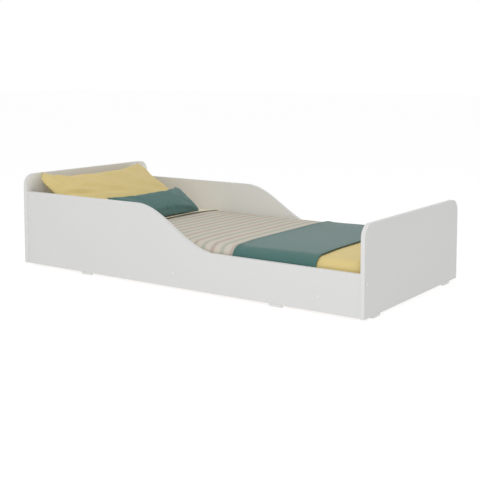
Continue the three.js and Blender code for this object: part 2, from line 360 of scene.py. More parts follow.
@dataclass(frozen=True)
class SawnWood:
    """Planed wood with growth rings that run along the board, fibres and a few knots."""

    name: str
    along: Axis
    pale: Colour
    ring: Colour
    knot: Colour
    ring_scale: float = 34.0
    rings: float = 0.75
    knots: float = 1.0

    def material(self) -> bpy.types.Material:
        """Makes the material.

        Returns:
            The material.
        """
        graph = Graph(self.name)
        place = graph.coordinates()
        stretch = (0.07, 1.0, 1.0) if self.along is Axis.X else (1.0, 0.07, 1.0)
        fibre_stretch = (12, 900, 900) if self.along is Axis.X else (900, 12, 900)
        long_grain = graph.mapped(place, stretch)
        across = Axis.Y if self.along is Axis.X else Axis.X
        values = {"Vector": long_grain, "Scale": 9.0, "Detail": 2.0}
        bent = graph.node("ShaderNodeTexNoise", values).outputs["Color"]
        warped = graph.blend(0.12, long_grain, bent)
        bands = graph.wave(warped, across, self.ring_scale, 2.5)
        fibres = graph.noise(graph.mapped(place, fibre_stretch), 1.0, 4.0, 0.7)
        cloud = graph.noise(long_grain, 5.0, 2.0)
        rings = graph.ramp(bands, 0.35, 1.0, 0.0, self.rings)
        colour = graph.blend(rings, self.pale, self.ring)
        values = {"Vector": graph.mapped(place, (2.2, 9, 9)), "Scale": 1.0}
        cells = graph.node("ShaderNodeTexVoronoi", values)
        spot = graph.ramp(cells.outputs["Distance"], 0.05, 0.12, self.knots, 0.0)
        colour = graph.blend(spot, colour, self.knot)
        shade = graph.math("MULTIPLY_ADD", fibres, 0.16, graph.math("MULTIPLY_ADD", cloud, 0.22, 0.8))
        graph.set(Base_Color=graph.tinted(colour, shade))
        graph.set(Roughness=graph.math("MULTIPLY_ADD", fibres, 0.25, 0.5), Specular_IOR_Level=0.35)
        relief = graph.math("MULTIPLY_ADD", bands, 0.4, fibres)
        graph.bump(relief, 0.12 * MM, 0.7)
        return graph.material


@dataclass(frozen=True)
class ZincSteel:
    """Bright zinc plating with a faint blue bloom and fine scratches."""

    name: str = "zinc_steel"
    colour: Colour = srgb(196, 200, 205)

    def material(self) -> bpy.types.Material:
        """Makes the material.

        Returns:
            The material.
        """
        graph = Graph(self.name)
        place = graph.coordinates()
        bloom = graph.noise(place, 400.0, 4.0, 0.6)
        scratch = graph.noise(graph.mapped(place, (4000, 300, 4000)), 1.0, 2.0)
        graph.set(Base_Color=graph.blend(bloom, self.colour, srgb(176, 183, 192)))
        graph.set(Metallic=1.0, Roughness=graph.math("MULTIPLY_ADD", scratch, 0.25, 0.22))
        graph.bump(scratch, 0.01 * MM, 0.5)
        return graph.material


@dataclass(frozen=True)
class Weave:
    """The threads of a plain-woven cloth, laid out in the metres of the piece's UV map."""

    pitch: float = 0.55 * MM
    slub: float = 0.05  # how much thick and thin threads change the colour
    relief: float = 0.16 * MM

    def dress(self, graph: Graph, colour: object) -> None:
        """Gives the cloth its threads, colour, relief and roughness.

        Args:
            graph: The material's graph.
            colour: The cloth's colour, or the socket that makes it.
        """
        cloth = graph.coordinates("UV")
        bands = math.pi / (10 * self.pitch)
        warp = graph.wave(cloth, Axis.X, bands)
        weft = graph.wave(cloth, Axis.Y, bands)
        thick_warp = graph.noise(graph.mapped(cloth, (520, 26, 1)), 1.0, 3.0, 0.6)
        thick_weft = graph.noise(graph.mapped(cloth, (26, 520, 1)), 1.0, 3.0, 0.6)
        wear = graph.noise(cloth, 9.0, 3.0)
        threads = graph.math("ADD", thick_warp, thick_weft)
        shade = graph.math("MULTIPLY_ADD", threads, 2 * self.slub, 1.0 - 2 * self.slub)
        shade = graph.math("MULTIPLY", shade, graph.math("MULTIPLY_ADD", wear, 0.08, 0.96))
        # Painted shade: the cloth is a few percent darker between the threads than where they cross on top.
        gaps = graph.math("MULTIPLY", warp, weft)
        shade = graph.math("MULTIPLY", shade, graph.math("MULTIPLY_ADD", gaps, 0.06, 0.97))
        graph.set(Base_Color=graph.tinted(colour, shade))
        height = graph.math("MULTIPLY_ADD", threads, 0.5, graph.math("MAXIMUM", warp, weft))
        graph.bump(height, self.relief, 0.8)
        graph.set(Roughness=graph.math("MULTIPLY_ADD", threads, 0.08, 0.82))


@dataclass(frozen=True)
class PlainCotton:
    """One-coloured woven cotton with a soft nap."""

    name: str
    colour: Colour
    sheen: float = 0.3
    weave: Weave = Weave()

    def material(self) -> bpy.types.Material:
        """Makes the material.

        Returns:
            The material.
        """
        graph = Graph(self.name)
        self.weave.dress(graph, self.colour)
        graph.set(Sheen_Weight=self.sheen, Sheen_Roughness=0.45, Specular_IOR_Level=0.15)
        return graph.material


YELLOW_COTTON = PlainCotton("yellow_cotton", srgb(225, 204, 140), 0.2)
THROW_COTTON = PlainCotton("throw_cotton", srgb(76, 115, 110), 0.45, weave=Weave(0.9 * MM, 0.07, 0.25 * MM))
CUSHION_COTTON = PlainCotton("cushion_cotton", srgb(82, 118, 114), 0.35)


@dataclass(frozen=True)
class StripedCotton:
    """Cream cotton with soft bands of pink and mint in turn, which run across the bed."""

    name: str = "striped_cotton"
    cream: Colour = srgb(210, 203, 189)
    pink: Colour = srgb(194, 180, 168)
    mint: Colour = srgb(187, 188, 174)
    repeat: float = 85 * MM  # a pink band and a mint one
    first_mint: float = 0.201  # a mint band's middle, along the bed
    band: float = 17 * MM
    soft: float = 3 * MM
    weave: Weave = Weave(0.7 * MM, 0.06, 0.2 * MM)

    def material(self) -> bpy.types.Material:
        """Makes the material.

        Returns:
            The material.
        """
        graph = Graph(self.name)
        along = graph.channel(graph.coordinates("UV"), Axis.X)
        wander = graph.noise(graph.mapped(graph.coordinates("UV"), (300, 18, 1)), 1.0, 2.0)
        along = graph.math("ADD", along, graph.math("MULTIPLY_ADD", wander, 2.4 * MM, -1.2 * MM))
        colour: object = self.cream
        for tone, offset in ((self.mint, 0.0), (self.pink, self.repeat / 2)):
            shifted = graph.math("SUBTRACT", along, self.first_mint + offset)
            turns = graph.math("DIVIDE", shifted, self.repeat)
            off_middle = graph.math("ABSOLUTE", graph.math("SUBTRACT", turns, graph.math("ROUND", turns)))
            distance = graph.math("MULTIPLY", off_middle, self.repeat)
            inside = graph.ramp(distance, (self.band - self.soft) / 2, (self.band + self.soft) / 2, 1.0, 0.0)
            colour = graph.blend(inside, colour, tone)
        self.weave.dress(graph, colour)
        graph.set(Sheen_Weight=0.05, Sheen_Roughness=0.5, Specular_IOR_Level=0.1)
        return graph.material


@dataclass(frozen=True)
class QuiltedTicking:
    """Off-white mattress cover, knitted, with a diamond quilting."""

    name: str = "quilted_ticking"
    colour: Colour = srgb(224, 221, 212)
    diamond: float = 55 * MM

    def material(self) -> bpy.types.Material:
        """Makes the material.

        Returns:
            The material.
        """
        graph = Graph(self.name)
        place = graph.coordinates()
        values = {"Vector": place, "Rotation": (0, 0, math.pi / 4)}
        turned = graph.node("ShaderNodeMapping", values).outputs[0]
        bands = math.pi / (10 * self.diamond)
        ridges = graph.math("MULTIPLY", graph.wave(turned, Axis.X, bands), graph.wave(turned, Axis.Y, bands))
        puff = graph.ramp(ridges, 0.0, 0.35)
        knit = graph.noise(place, 1400.0, 2.0, 0.6)
        cloud = graph.noise(place, 8.0, 3.0)
        # Painted shade: the colour is lighter on the quilted puffs and darker in the stitched valleys,
        # besides the bump.
        shade = graph.math("MULTIPLY_ADD", puff, 0.07, graph.math("MULTIPLY_ADD", cloud, 0.05, 0.9))
        graph.set(Base_Color=graph.tinted(self.colour, shade))
        graph.bump(graph.math("MULTIPLY_ADD", knit, 0.08, puff), 2.5 * MM, 0.8)
        graph.set(Roughness=graph.math("MULTIPLY_ADD", knit, 0.1, 0.82))
        graph.set(Sheen_Weight=0.2, Sheen_Roughness=0.5, Specular_IOR_Level=0.15)
        return graph.material


@dataclass(frozen=True)
class Thread:
    """Twisted sewing thread."""

    name: str
    colour: Colour

    def material(self) -> bpy.types.Material:
        """Makes the material.

        Returns:
            The material.
        """
        graph = Graph(self.name)
        twist = graph.noise(graph.coordinates(), 2600.0, 2.0)
        shade = graph.math("MULTIPLY_ADD", twist, 0.3, 0.82)
        graph.set(Base_Color=graph.tinted(self.colour, shade))
        graph.bump(twist, 0.1 * MM, 0.6)
        graph.set(Roughness=graph.math("MULTIPLY_ADD", twist, 0.2, 0.6), Sheen_Weight=0.2)
        return graph.material


# Geometry Nodes


class Recipe(NodeTree):
    """A Geometry Nodes tree with named inputs, which turns a source object into a plain mesh."""

    def __init__(self, name: str) -> None:
        """Starts the tree.

        Args:
            name: The tree's name.
        """
        super().__init__(bpy.data.node_groups.new(name, "GeometryNodeTree"))
        face = self.tree.interface
        face.new_socket("Geometry", in_out="INPUT", socket_type="NodeSocketGeometry")
        face.new_socket("Geometry", in_out="OUTPUT", socket_type="NodeSocketGeometry")
        self.entry = self.node("NodeGroupInput")
        self.named: dict[str, str] = {}
        self.given("Finish", "NodeSocketMaterial")

    def given(self, name: str, kind: str = "NodeSocketFloat") -> Socket:
        """Adds a named input.

        Args:
            name: The input's name.
            kind: Its socket type.

        Returns:
            The socket that gives its value inside the tree.
        """
        item = self.tree.interface.new_socket(name, in_out="INPUT", socket_type=kind)
        self.named[name] = item.identifier
        return self.entry.outputs[name]

    def close(self, geometry: Socket) -> "Recipe":
        """Ends the tree with real geometry in the given finish.

        Args:
            geometry: What the tree has made.

        Returns:
            The recipe.
        """
        real = self.node("GeometryNodeRealizeInstances", {"Geometry": geometry}).outputs[0]
        finish = self.entry.outputs["Finish"]
        dressed = self.node("GeometryNodeSetMaterial", {"Geometry": real, "Material": finish}).outputs[0]
        self.node("NodeGroupOutput", {0: dressed})
        return self

    def make(
        self, name: str, source: bpy.types.Object, finish: bpy.types.Material, **values: float
    ) -> bpy.types.Object:
        """Runs the tree once on a source object, which it uses up.

        Args:
            name: The new piece's name.
            source: The object that the tree starts from.
            finish: The piece's material.
            **values: The named inputs, with underscores for spaces.

        Returns:
            The finished piece, as a plain mesh at the origin.
        """
        modifier = source.modifiers.new("recipe", "NODES")
        modifier.node_group = self.tree
        modifier[self.named["Finish"]] = finish
        for key, value in values.items():
            modifier[self.named[key.replace("_", " ")]] = value
        piece = plain_copy(source, name)
        discard(source)
        return piece


def screw_grid_recipe() -> Recipe:
    """Builds the tree that sets one screw head on each point of a flat grid.

    Returns:
        The recipe.
    """
    recipe = Recipe("screw_grid")
    sizes = {name: recipe.given(name) for name in ("Length", "Width")}
    counts = {name: recipe.given(name, "NodeSocketInt") for name in ("Columns", "Rows")}
    values = {
        "Size X": sizes["Length"],
        "Size Y": sizes["Width"],
        "Vertices X": counts["Columns"],
        "Vertices Y": counts["Rows"],
    }
    grid = recipe.node("GeometryNodeMeshGrid", values).outputs[0]
    height = recipe.node("ShaderNodeCombineXYZ", {"Z": recipe.given("Height")}).outputs[0]
    lifted = recipe.node("GeometryNodeTransform", {"Geometry": grid, "Translation": height}).outputs[0]
    turn = recipe.node("FunctionNodeRandomValue", {2: 0.0, 3: math.pi, "Seed": 7}).outputs[1]
    spin = recipe.node("ShaderNodeCombineXYZ", {"Z": turn}).outputs[0]
    head = recipe.entry.outputs["Geometry"]
    values = {"Points": lifted, "Instance": head, "Rotation": spin}
    return recipe.close(recipe.node("GeometryNodeInstanceOnPoints", values).outputs[0])


def stitch_recipe() -> Recipe:
    """Builds the tree that lays a running stitch along each line of the source mesh.

    Returns:
        The recipe.
    """
    recipe = Recipe("running_stitch")
    pitch, length, radius = (recipe.given(name) for name in ("Pitch", "Length", "Radius"))
    line = recipe.node("GeometryNodeMeshToCurve", {"Mesh": recipe.entry.outputs["Geometry"]}).outputs[0]
    points = recipe.node("GeometryNodeCurveToPoints", {"Curve": line, "Length": pitch}, mode="LENGTH")
    values = {"Vertices": 6, "Radius": radius, "Depth": length, "Side Segments": 1}
    thread = recipe.node("GeometryNodeMeshCylinder", values).outputs[0]
    values = {"Vector": points.outputs["Tangent"]}
    turned = recipe.node("FunctionNodeAlignRotationToVector", values, axis="Z").outputs[0]
    values = {"Points": points.outputs[0], "Instance": thread, "Rotation": turned}
    return recipe.close(recipe.node("GeometryNodeInstanceOnPoints", values).outputs[0])


def welt_recipe() -> Recipe:
    """Builds the tree that runs a round cord along each line of the source mesh.

    Returns:
        The recipe.
    """
    recipe = Recipe("welt")
    radius = recipe.given("Radius")
    line = recipe.node("GeometryNodeMeshToCurve", {"Mesh": recipe.entry.outputs["Geometry"]}).outputs[0]
    ring = recipe.node("GeometryNodeCurvePrimitiveCircle", {"Resolution": 7, "Radius": radius}).outputs[0]
    values = {"Curve": line, "Profile Curve": ring, "Fill Caps": True}
    tube = recipe.node("GeometryNodeCurveToMesh", values).outputs[0]
    values = {"Geometry": tube, "Shade Smooth": True}
    return recipe.close(recipe.node("GeometryNodeSetShadeSmooth", values).outputs[0])


# Meshes


def link(name: str, mesh: bpy.types.Mesh) -> bpy.types.Object:
    """Puts a mesh in the scene as an object at the origin.

    Args:
        name: The object's name.
        mesh: Its mesh.

    Returns:
        The object.
    """
    made = bpy.data.objects.new(name, mesh)
    bpy.context.scene.collection.objects.link(made)
    return made


def discard(piece: bpy.types.Object) -> None:
    """Takes a helper object and its mesh out of the scene.

    Args:
        piece: The helper object.
    """
    mesh = piece.data
    bpy.data.objects.remove(piece)
    bpy.data.meshes.remove(mesh)


def plain_copy(source: bpy.types.Object, name: str) -> bpy.types.Object:
    """Turns an object with live modifiers into a plain mesh of its own.

    Args:
        source: The object.
        name: The new object's name.

    Returns:
        The plain object.
    """
    bpy.context.view_layer.update()
    graph = bpy.context.evaluated_depsgraph_get()
    mesh = bpy.data.meshes.new_from_object(source.evaluated_get(graph), depsgraph=graph)
    mesh.name = name
    return link(name, mesh)


def smooth(mesh: bpy.types.Mesh) -> None:
    """Shades every face of a mesh smooth."""
    mesh.polygons.foreach_set("use_smooth", [True] * len(mesh.polygons))
    mesh.update()


def mesh_object(
    name: str, points: np.ndarray, faces: Sequence[Sequence[int]], weld: float = 0.0
) -> bpy.types.Object:
    """Makes an object from points and faces.

    Args:
        name: The object's name.
        points: One row for each point.
        faces: The points of each face.
        weld: Points nearer than this become one, where it is above 0.

    Returns:
        The object, smooth and facing outwards.
    """
    mesh = bpy.data.meshes.new(name)
    mesh.from_pydata(points.tolist(), [], [list(face) for face in faces])
    shape = bmesh.new()
    shape.from_mesh(mesh)
    if weld > 0:
        bmesh.ops.remove_doubles(shape, verts=shape.verts, dist=weld)
    bmesh.ops.recalc_face_normals(shape, faces=shape.faces)
    shape.to_mesh(mesh)
    shape.free()
    smooth(mesh)
    return link(name, mesh)


def line_object(name: str, lines: Sequence[np.ndarray], closed: bool = False) -> bpy.types.Object:
    """Makes a mesh of open or closed lines, for a recipe to follow.

    Args:
        name: The object's name.
        lines: The points of each line.
        closed: Whether each line ends where it starts.

    Returns:
        The object.
    """
    points: list[list[float]] = []
    edges: list[tuple[int, int]] = []
    for line in lines:
        first = len(points)
        points.extend(np.asarray(line, float).tolist())
        edges.extend((i, i + 1) for i in range(first, len(points) - 1))
        if closed:
            edges.append((len(points) - 1, first))
    mesh = bpy.data.meshes.new(name)
    mesh.from_pydata(points, edges, [])
    return link(name, mesh)


def coordinates_of(mesh: bpy.types.Mesh) -> np.ndarray:
    """Reads a mesh's points.

    Args:
        mesh: The mesh.

    Returns:
        One row for each point.
    """
    flat = np.empty(3 * len(mesh.vertices), np.float32)
    mesh.vertices.foreach_get("co", flat)
    return flat.reshape(-1, 3).astype(float)


def normals_of(mesh: bpy.types.Mesh) -> np.ndarray:
    """Reads the normals at a mesh's points.

    Args:
        mesh: The mesh.

    Returns:
        One row for each point.
    """
    flat = np.empty(3 * len(mesh.vertices), np.float32)
    mesh.vertex_normals.foreach_get("vector", flat)
    return flat.reshape(-1, 3).astype(float)


def move_points(mesh: bpy.types.Mesh, points: np.ndarray) -> None:
    """Moves a mesh's points to the given places."""
    mesh.vertices.foreach_set("co", points.astype(np.float32).ravel())
    mesh.update()


def map_cloth(mesh: bpy.types.Mesh, across: np.ndarray) -> None:
    """Gives each point its place on the flat cloth, in metres, as the mesh's UV map.

    Args:
        mesh: The mesh.
        across: Two values for each point.
    """
    layer = mesh.uv_layers.new(name="cloth")
    corners = np.empty(len(mesh.loops), np.int32)
    mesh.loops.foreach_get("vertex_index", corners)
    layer.data.foreach_set("uv", across[corners].astype(np.float32).ravel())


def wrinkle(points: np.ndarray, size: float, seed: float) -> np.ndarray:
    """Gives smooth noise of about -1 to 1.

    Args:
        points: One row for each place.
        size: The noise's cell in metres.
        seed: Shifts the pattern.

    Returns:
        The noise at each place.
    """
    shift = Vector((seed * 13.7, seed * 7.3, seed * 3.1))
    return np.array([noise.noise(Vector(point) / size + shift) for point in points])


def nearest_rows(points: np.ndarray, places: np.ndarray) -> np.ndarray:
    """Finds the nearest of some points to each place.

    Args:
        points: The points.
        places: The places.

    Returns:
        The row of the nearest point, for each place.
    """
    tree = KDTree(len(points))
    for row, point in enumerate(points):
        tree.insert(point, row)
    tree.balance()
    return np.array([tree.find(place)[1] for place in places])


def bvh_of(piece: bpy.types.Object) -> BVHTree:
    """Makes a search tree of a piece's mesh.

    Args:
        piece: The piece.

    Returns:
        The tree.
    """
    mesh = piece.data
    points = [vertex.co.copy() for vertex in mesh.vertices]
    return BVHTree.FromPolygons(points, [tuple(face.vertices) for face in mesh.polygons])


def share_of(value: np.ndarray, start: float, end: float) -> np.ndarray:
    """Gives how far values have come from a start, 0, to an end, 1."""
    return (value - start) / (end - start)


def ease(value: np.ndarray) -> np.ndarray:
    """Limits values to 0 to 1 and smooths both ends."""
    kept = np.clip(value, 0.0, 1.0)
    return kept * kept * (3 - 2 * kept)


# Assembly


@dataclass
class Workshop:
    """What the sub-assemblies share: the model's nodes, the recipes and the finishes."""

    nodes: dict[str, bpy.types.Object]
    screws: Recipe = field(default_factory=screw_grid_recipe)
    stitches: Recipe = field(default_factory=stitch_recipe)
    welts: Recipe = field(default_factory=welt_recipe)

    def paint(self, name: str, material: bpy.types.Material) -> None:
        """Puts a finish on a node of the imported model.

        Args:
            name: The node's name.
            material: Its finish.
        """
        slots = self.nodes[name].data.materials
        if len(slots):
            slots[0] = material
        else:
            slots.append(material)
        LOG.info("%s takes %s", name, material.name)

    def fit(self, piece: bpy.types.Object, body: Body, slot: Slot, *stands_for: str) -> bpy.types.Object:
        """Puts a finished piece on its body.

        Args:
            piece: The piece.
            body: The body that it rides on.
            slot: The record's material slot for it; not used.
            *stands_for: The nodes that it replaces.

        Returns:
            The piece.
        """
        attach(piece, body.value)
        if stands_for:
            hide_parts(*stands_for)
        LOG.info("%s rides on %s: %d faces", piece.name, body.value, len(piece.data.polygons))
        return piece


class SubAssembly:
    """A part of the bed that builds its pieces and dresses them."""

    def build(self, shop: Workshop) -> None:
        """Builds the sub-assembly's pieces in the workshop."""
        raise NotImplementedError


@dataclass
class BoardFrame(SubAssembly):
    """The headboard, footboard, side rails, their plastic glides and cover caps."""

    # Painted light and shade: each board's white is set by the light it gets, lighter on the headboard and
    # back rail against their shade, darker on the footboard and front rail.
    boards: tuple[tuple[str, Axis, Colour], ...] = (
        ("headboard", Axis.X, srgb(241, 240, 236)),
        ("footboard", Axis.X, srgb(216, 216, 215)),
        ("side_rail_front", Axis.Y, srgb(217, 217, 216)),
        ("side_rail_back", Axis.Y, srgb(238, 237, 232)),
    )

    def build(self, shop: Workshop) -> None:
        """Dresses the boards, the glides and the caps.

        Args:
            shop: The workshop.
        """
        for name, through, tone in self.boards:
            index = "XYZ".index(through.value)
            low, high = (corner[index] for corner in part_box(name))
            # Each board takes its own copy of the laminate in its light-matched white: painted light and
            # shade.
            finish = LaminateBoard(f"laminate_{name}", through, (low + high) / 2, (high - low) / 2, tone)
            shop.paint(name, finish.material())
        plastic = MouldedPlastic().material()
        for name in shop.nodes:
            if name.startswith("glide_") or name.endswith("_cap"):
                shop.paint(name, plastic)


@dataclass
class SlattedBase(SubAssembly):
    """The pine slats and cross beams, and the screws that hold the slats down."""

    head: float = 7.6 * MM
    cone: float = 1.4 * MM
    rim: float = 0.15 * MM
    dome: float = 0.12 * MM
    recess: float = 2.2 * MM  # from the head's middle to an arm's end
    recess_width: float = 0.9 * MM
    recess_depth: float = 0.8 * MM
    stands_up: float = 0.1 * MM  # above the slat
    sides: int = 20
    slats: int = 6
    beams: int = 3

    def build(self, shop: Workshop) -> None:
        """Dresses the slats and beams and sets the slat screws.

        Args:
            shop: The workshop.
        """
        tones = {"pale": srgb(226, 197, 150), "ring": srgb(196, 152, 98), "knot": srgb(128, 84, 50)}
        slat = SawnWood("pine_slat", Axis.X, **tones).material()
        beam = SawnWood("pine_beam", Axis.Y, **tones).material()
        for name in shop.nodes:
            if name.startswith("base_slat"):
                shop.paint(name, slat)
            elif name.startswith("cross_beam"):
                shop.paint(name, beam)
        self.set_screws(shop)

    def set_screws(self, shop: Workshop) -> None:
        """Sets one countersunk screw where each slat crosses each beam.

        Args:
            shop: The workshop.
        """
        middles = [sum(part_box(f"base_slat_{i}"), Vector()) / 2 for i in (1, self.slats)]
        beams = [sum(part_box(f"cross_beam_{end}"), Vector()) / 2 for end in ("head", "foot")]
        screws = shop.screws.make(
            "slat_screws",
            self.screw_head(),
            ZincSteel("zinc_slat_screw").material(),
            Length=beams[1].x - beams[0].x,
            Width=middles[1].y - middles[0].y,
            Columns=self.beams,
            Rows=self.slats,
            Height=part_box("base_slat_1")[1].z + self.stands_up,
        )
        shop.fit(screws, Body.FRAME, Slot.ZINC)

    def screw_head(self) -> bpy.types.Object:
        """Makes one countersunk head with a crossed recess, its top at the origin.

        Returns:
            The head.
        """
        shape = bmesh.new()
        outer = self.head / 2
        rings = ((0.5 * outer, -self.cone), (outer, -self.rim), (0.96 * outer, 0.0), (0.6 * outer, self.dome))
        turns = [Matrix.Rotation(2 * math.pi * i / self.sides, 3, "Z") for i in range(self.sides)]
        loops = []
        for radius, height in rings:
            loops.append([shape.verts.new(turn @ Vector((radius, 0, height))) for turn in turns])
        for low, high in zip(loops, loops[1:]):
            for i in range(self.sides):
                j = (i + 1) % self.sides
                shape.faces.new((low[i], low[j], high[j], high[i]))
        shape.faces.new(list(reversed(loops[0])))
        self.sink_cross(shape, loops[-1])
        bmesh.ops.recalc_face_normals(shape, faces=shape.faces)
        mesh = bpy.data.meshes.new("screw_head")
        shape.to_mesh(mesh)
        shape.free()
        return link("screw_head", mesh)

    def sink_cross(self, shape: bmesh.types.BMesh, rim: list[bmesh.types.BMVert]) -> None:
        """Closes a head's top with a crossed recess.

        Args:
            shape: The head so far.
            rim: The loop round its open top.
        """
        half = self.recess_width / 2
        corners = ((half, -half, 0), (self.recess, -half, 0), (self.recess, half, 0))
        outline = []
        for quarter in range(4):
            turn = Matrix.Rotation(quarter * math.pi / 2, 3, "Z")
            outline += [turn @ Vector(corner) for corner in corners]
        top = rim[0].co.z
        upper = [shape.verts.new((p.x, p.y, top)) for p in outline]
        lower = [shape.verts.new((p.x * 0.5, p.y * 0.5, top - self.recess_depth)) for p in outline]
        count = len(outline)
        for i in range(count):
            shape.faces.new((upper[i], lower[i], lower[(i + 1) % count], upper[(i + 1) % count]))
        shape.faces.new(lower)
        edges = [edge for edge in shape.edges if edge.is_boundary]
        bmesh.ops.bridge_loops(shape, edges=edges)


@dataclass
class Fasteners(SubAssembly):
    """The connecting screws and the dowels inside the corners."""

    def build(self, shop: Workshop) -> None:
        """Dresses the screws and the dowels.

        Args:
            shop: The workshop.
        """
        zinc = ZincSteel().material()
        beech = SawnWood(
            "beech_dowel_wood",
            Axis.X,
            pale=srgb(214, 178, 134),
            ring=srgb(190, 148, 106),
            knot=srgb(150, 108, 72),
            ring_scale=160.0,
            rings=0.4,
            knots=0.0,
        ).material()
        for name in shop.nodes:
            if name.endswith("_screw"):
                shop.paint(name, zinc)
            elif name.startswith("dowel_"):
                shop.paint(name, beech)


@dataclass
class Slab:
    """The mattress's rounded slab, which its bedding follows: flat areas joined by quarter-round edges."""

    edge: float = 36 * MM
    step: float = 9 * MM
    head_sag: float = 3.5 * MM  # how much lower the top lies towards the head
    head_slope: tuple[float, float] = (0.25, 0.55)  # where along the bed it sinks
    side_sag: float = 4.5 * MM  # how much lower the top lies towards both long edges
    side_slope: tuple[float, float] = (0.19, 0.34)  # where across the bed it sinks
    low: Vector = field(init=False)
    high: Vector = field(init=False)

    def __post_init__(self) -> None:
        """Takes the slab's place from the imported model."""
        self.low, self.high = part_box("mattress")

    @property
    def core(self) -> tuple[float, float]:
        """Gives half the length and half the width of the flat top."""
        return self.high.x - self.edge, self.high.y - self.edge

    @property
    def side(self) -> float:
        """Gives the height of the straight part of the side."""
        return self.high.z - self.low.z - 2 * self.edge

    def sagged(self, points: np.ndarray) -> np.ndarray:
        """Lets the slab's upper part sink a little towards the head and the long edges.

        Args:
            points: Rows of three, in any grid.

        Returns:
            The sunk points.
        """
        to_head = 1 - ease(share_of(points[..., 0], *self.head_slope))
        to_side = ease(share_of(np.abs(points[..., 1]), *self.side_slope))
        height = np.clip((points[..., 2] - self.low.z) / (self.high.z - self.low.z), 0, 1)
        sunk = points.copy()
        sunk[..., 2] -= (self.head_sag * to_head + self.side_sag * to_side) * height**2
        return sunk

    def fall(self, distance: np.ndarray, grow: np.ndarray | float) -> tuple[np.ndarray, ...]:
        """Follows the slab's section from the flat top outwards, over the edge, down and under.

        Args:
            distance: How far along the section, from where the flat top ends.
            grow: How far outside the slab.

        Returns:
            How far out, how high, and the outward and upward parts of the normal.
        """
        arc = self.edge * math.pi / 2
        over = np.clip(distance / self.edge, 0, math.pi / 2)
        under = np.clip((distance - arc - self.side) / self.edge, 0, math.pi / 2)
        angle = over + under
        straight = np.clip(distance - arc, 0, self.side)
        out_n, up_n = np.sin(angle), np.cos(angle)
        centre = self.high.z - self.edge - straight
        return (self.edge + grow) * out_n, centre + (self.edge + grow) * up_n, out_n, up_n

    def across(self, s: np.ndarray, grow: np.ndarray | float) -> tuple[np.ndarray, ...]:
        """Follows the slab's cross-section from side to side.

        Args:
            s: How far along it from the middle of the top.
            grow: How far outside the slab.

        Returns:
            The places along Y and Z, and the normal's parts along Y and Z.
        """
        flat = self.core[1]
        out, height, out_n, up_n = self.fall(np.maximum(np.abs(s) - flat, 0.0), grow)
        sign = np.sign(s)
        return sign * (np.minimum(np.abs(s), flat) + out), height, sign * out_n, up_n

    def reach(self, bottom: float) -> float:
        """Gives the distance along the section from the top's middle down to a height."""
        return self.core[1] + self.edge * math.pi / 2 + (self.high.z - self.edge - bottom)

    def rim(self, fan: int = 8) -> tuple[np.ndarray, np.ndarray]:
        """Lists the points round the flat top, with a fan of directions at each corner.

        Args:
            fan: Steps in a corner's quarter turn.

        Returns:
            The points and their outward directions.
        """
        half_x, half_y = self.core
        corners = [(half_x, -half_y), (half_x, half_y), (-half_x, half_y), (-half_x, -half_y)]
        points, directions = [], []
        for i, corner in enumerate(corners):
            start = -math.pi / 2 + i * math.pi / 2
            for k in range(fan):
                angle = start + math.pi / 2 * k / fan
                points.append(corner)
                directions.append((math.cos(angle), math.sin(angle)))
            following = corners[(i + 1) % 4]
            length = math.dist(corner, following)
            steps = round(length / self.step)
            for k in range(steps):
                share = k / steps
                points.append(tuple(a + (b - a) * share for a, b in zip(corner, following)))
                directions.append((math.cos(start + math.pi / 2), math.sin(start + math.pi / 2)))
        return np.array(points), np.array(directions)

    def shell(self, distances: np.ndarray, grow: float, closed: bool) -> tuple[np.ndarray, list, np.ndarray]:
        """Meshes the slab's surface from its flat top as far round as the given distances.

        Args:
            distances: Where each loop below the flat top is, along the section.
            grow: How far outside the slab.
            closed: Whether the flat underside is added.

        Returns:
            The points, the faces and each point's distance from the flat top.
        """
        rim, ways = self.rim()
        count = len(rim)
        rows = [np.column_stack([rim, np.full(count, self.high.z + grow)])]
        for distance in distances:
            out, height, _, _ = self.fall(np.array(distance), grow)
            rows.append(np.column_stack([rim + ways * out, np.full(count, height)]))
        points = np.vstack(rows)
        depth = np.repeat(np.concatenate([[0.0], distances]), count)
        faces = []
        for row in range(len(rows) - 1):
            for i in range(count):
                j = (i + 1) % count
                a, b = row * count, (row + 1) * count
                faces.append((a + i, b + i, b + j, a + j))
        flats = [(self.high.z + grow, 0.0)]
        if closed:
            flats.append((self.low.z - grow, float(distances[-1])))
        for height, far in flats:
            grid, quads = self.flat_grid(height)
            faces += [tuple(len(points) + corner for corner in quad) for quad in quads]
            points = np.vstack([points, grid])
            depth = np.concatenate([depth, np.full(len(grid), far)])
        return self.sagged(points), faces, depth

    def flat_grid(self, height: float) -> tuple[np.ndarray, list]:
        """Meshes the flat area at a height.

        Args:
            height: The height.

        Returns:
            The points and the faces.
        """
        half_x, half_y = self.core
        columns, rows = round(2 * half_x / self.step), round(2 * half_y / self.step)
        xs = np.linspace(-half_x, half_x, columns + 1)
        ys = np.linspace(-half_y, half_y, rows + 1)
        grid_x, grid_y = np.meshgrid(xs, ys, indexing="ij")
        points = np.column_stack([grid_x.ravel(), grid_y.ravel(), np.full(grid_x.size, height)])
        width = rows + 1
        faces = [
            (i * width + j, (i + 1) * width + j, (i + 1) * width + j + 1, i * width + j + 1)
            for i in range(columns)
            for j in range(rows)
        ]
        return points, faces


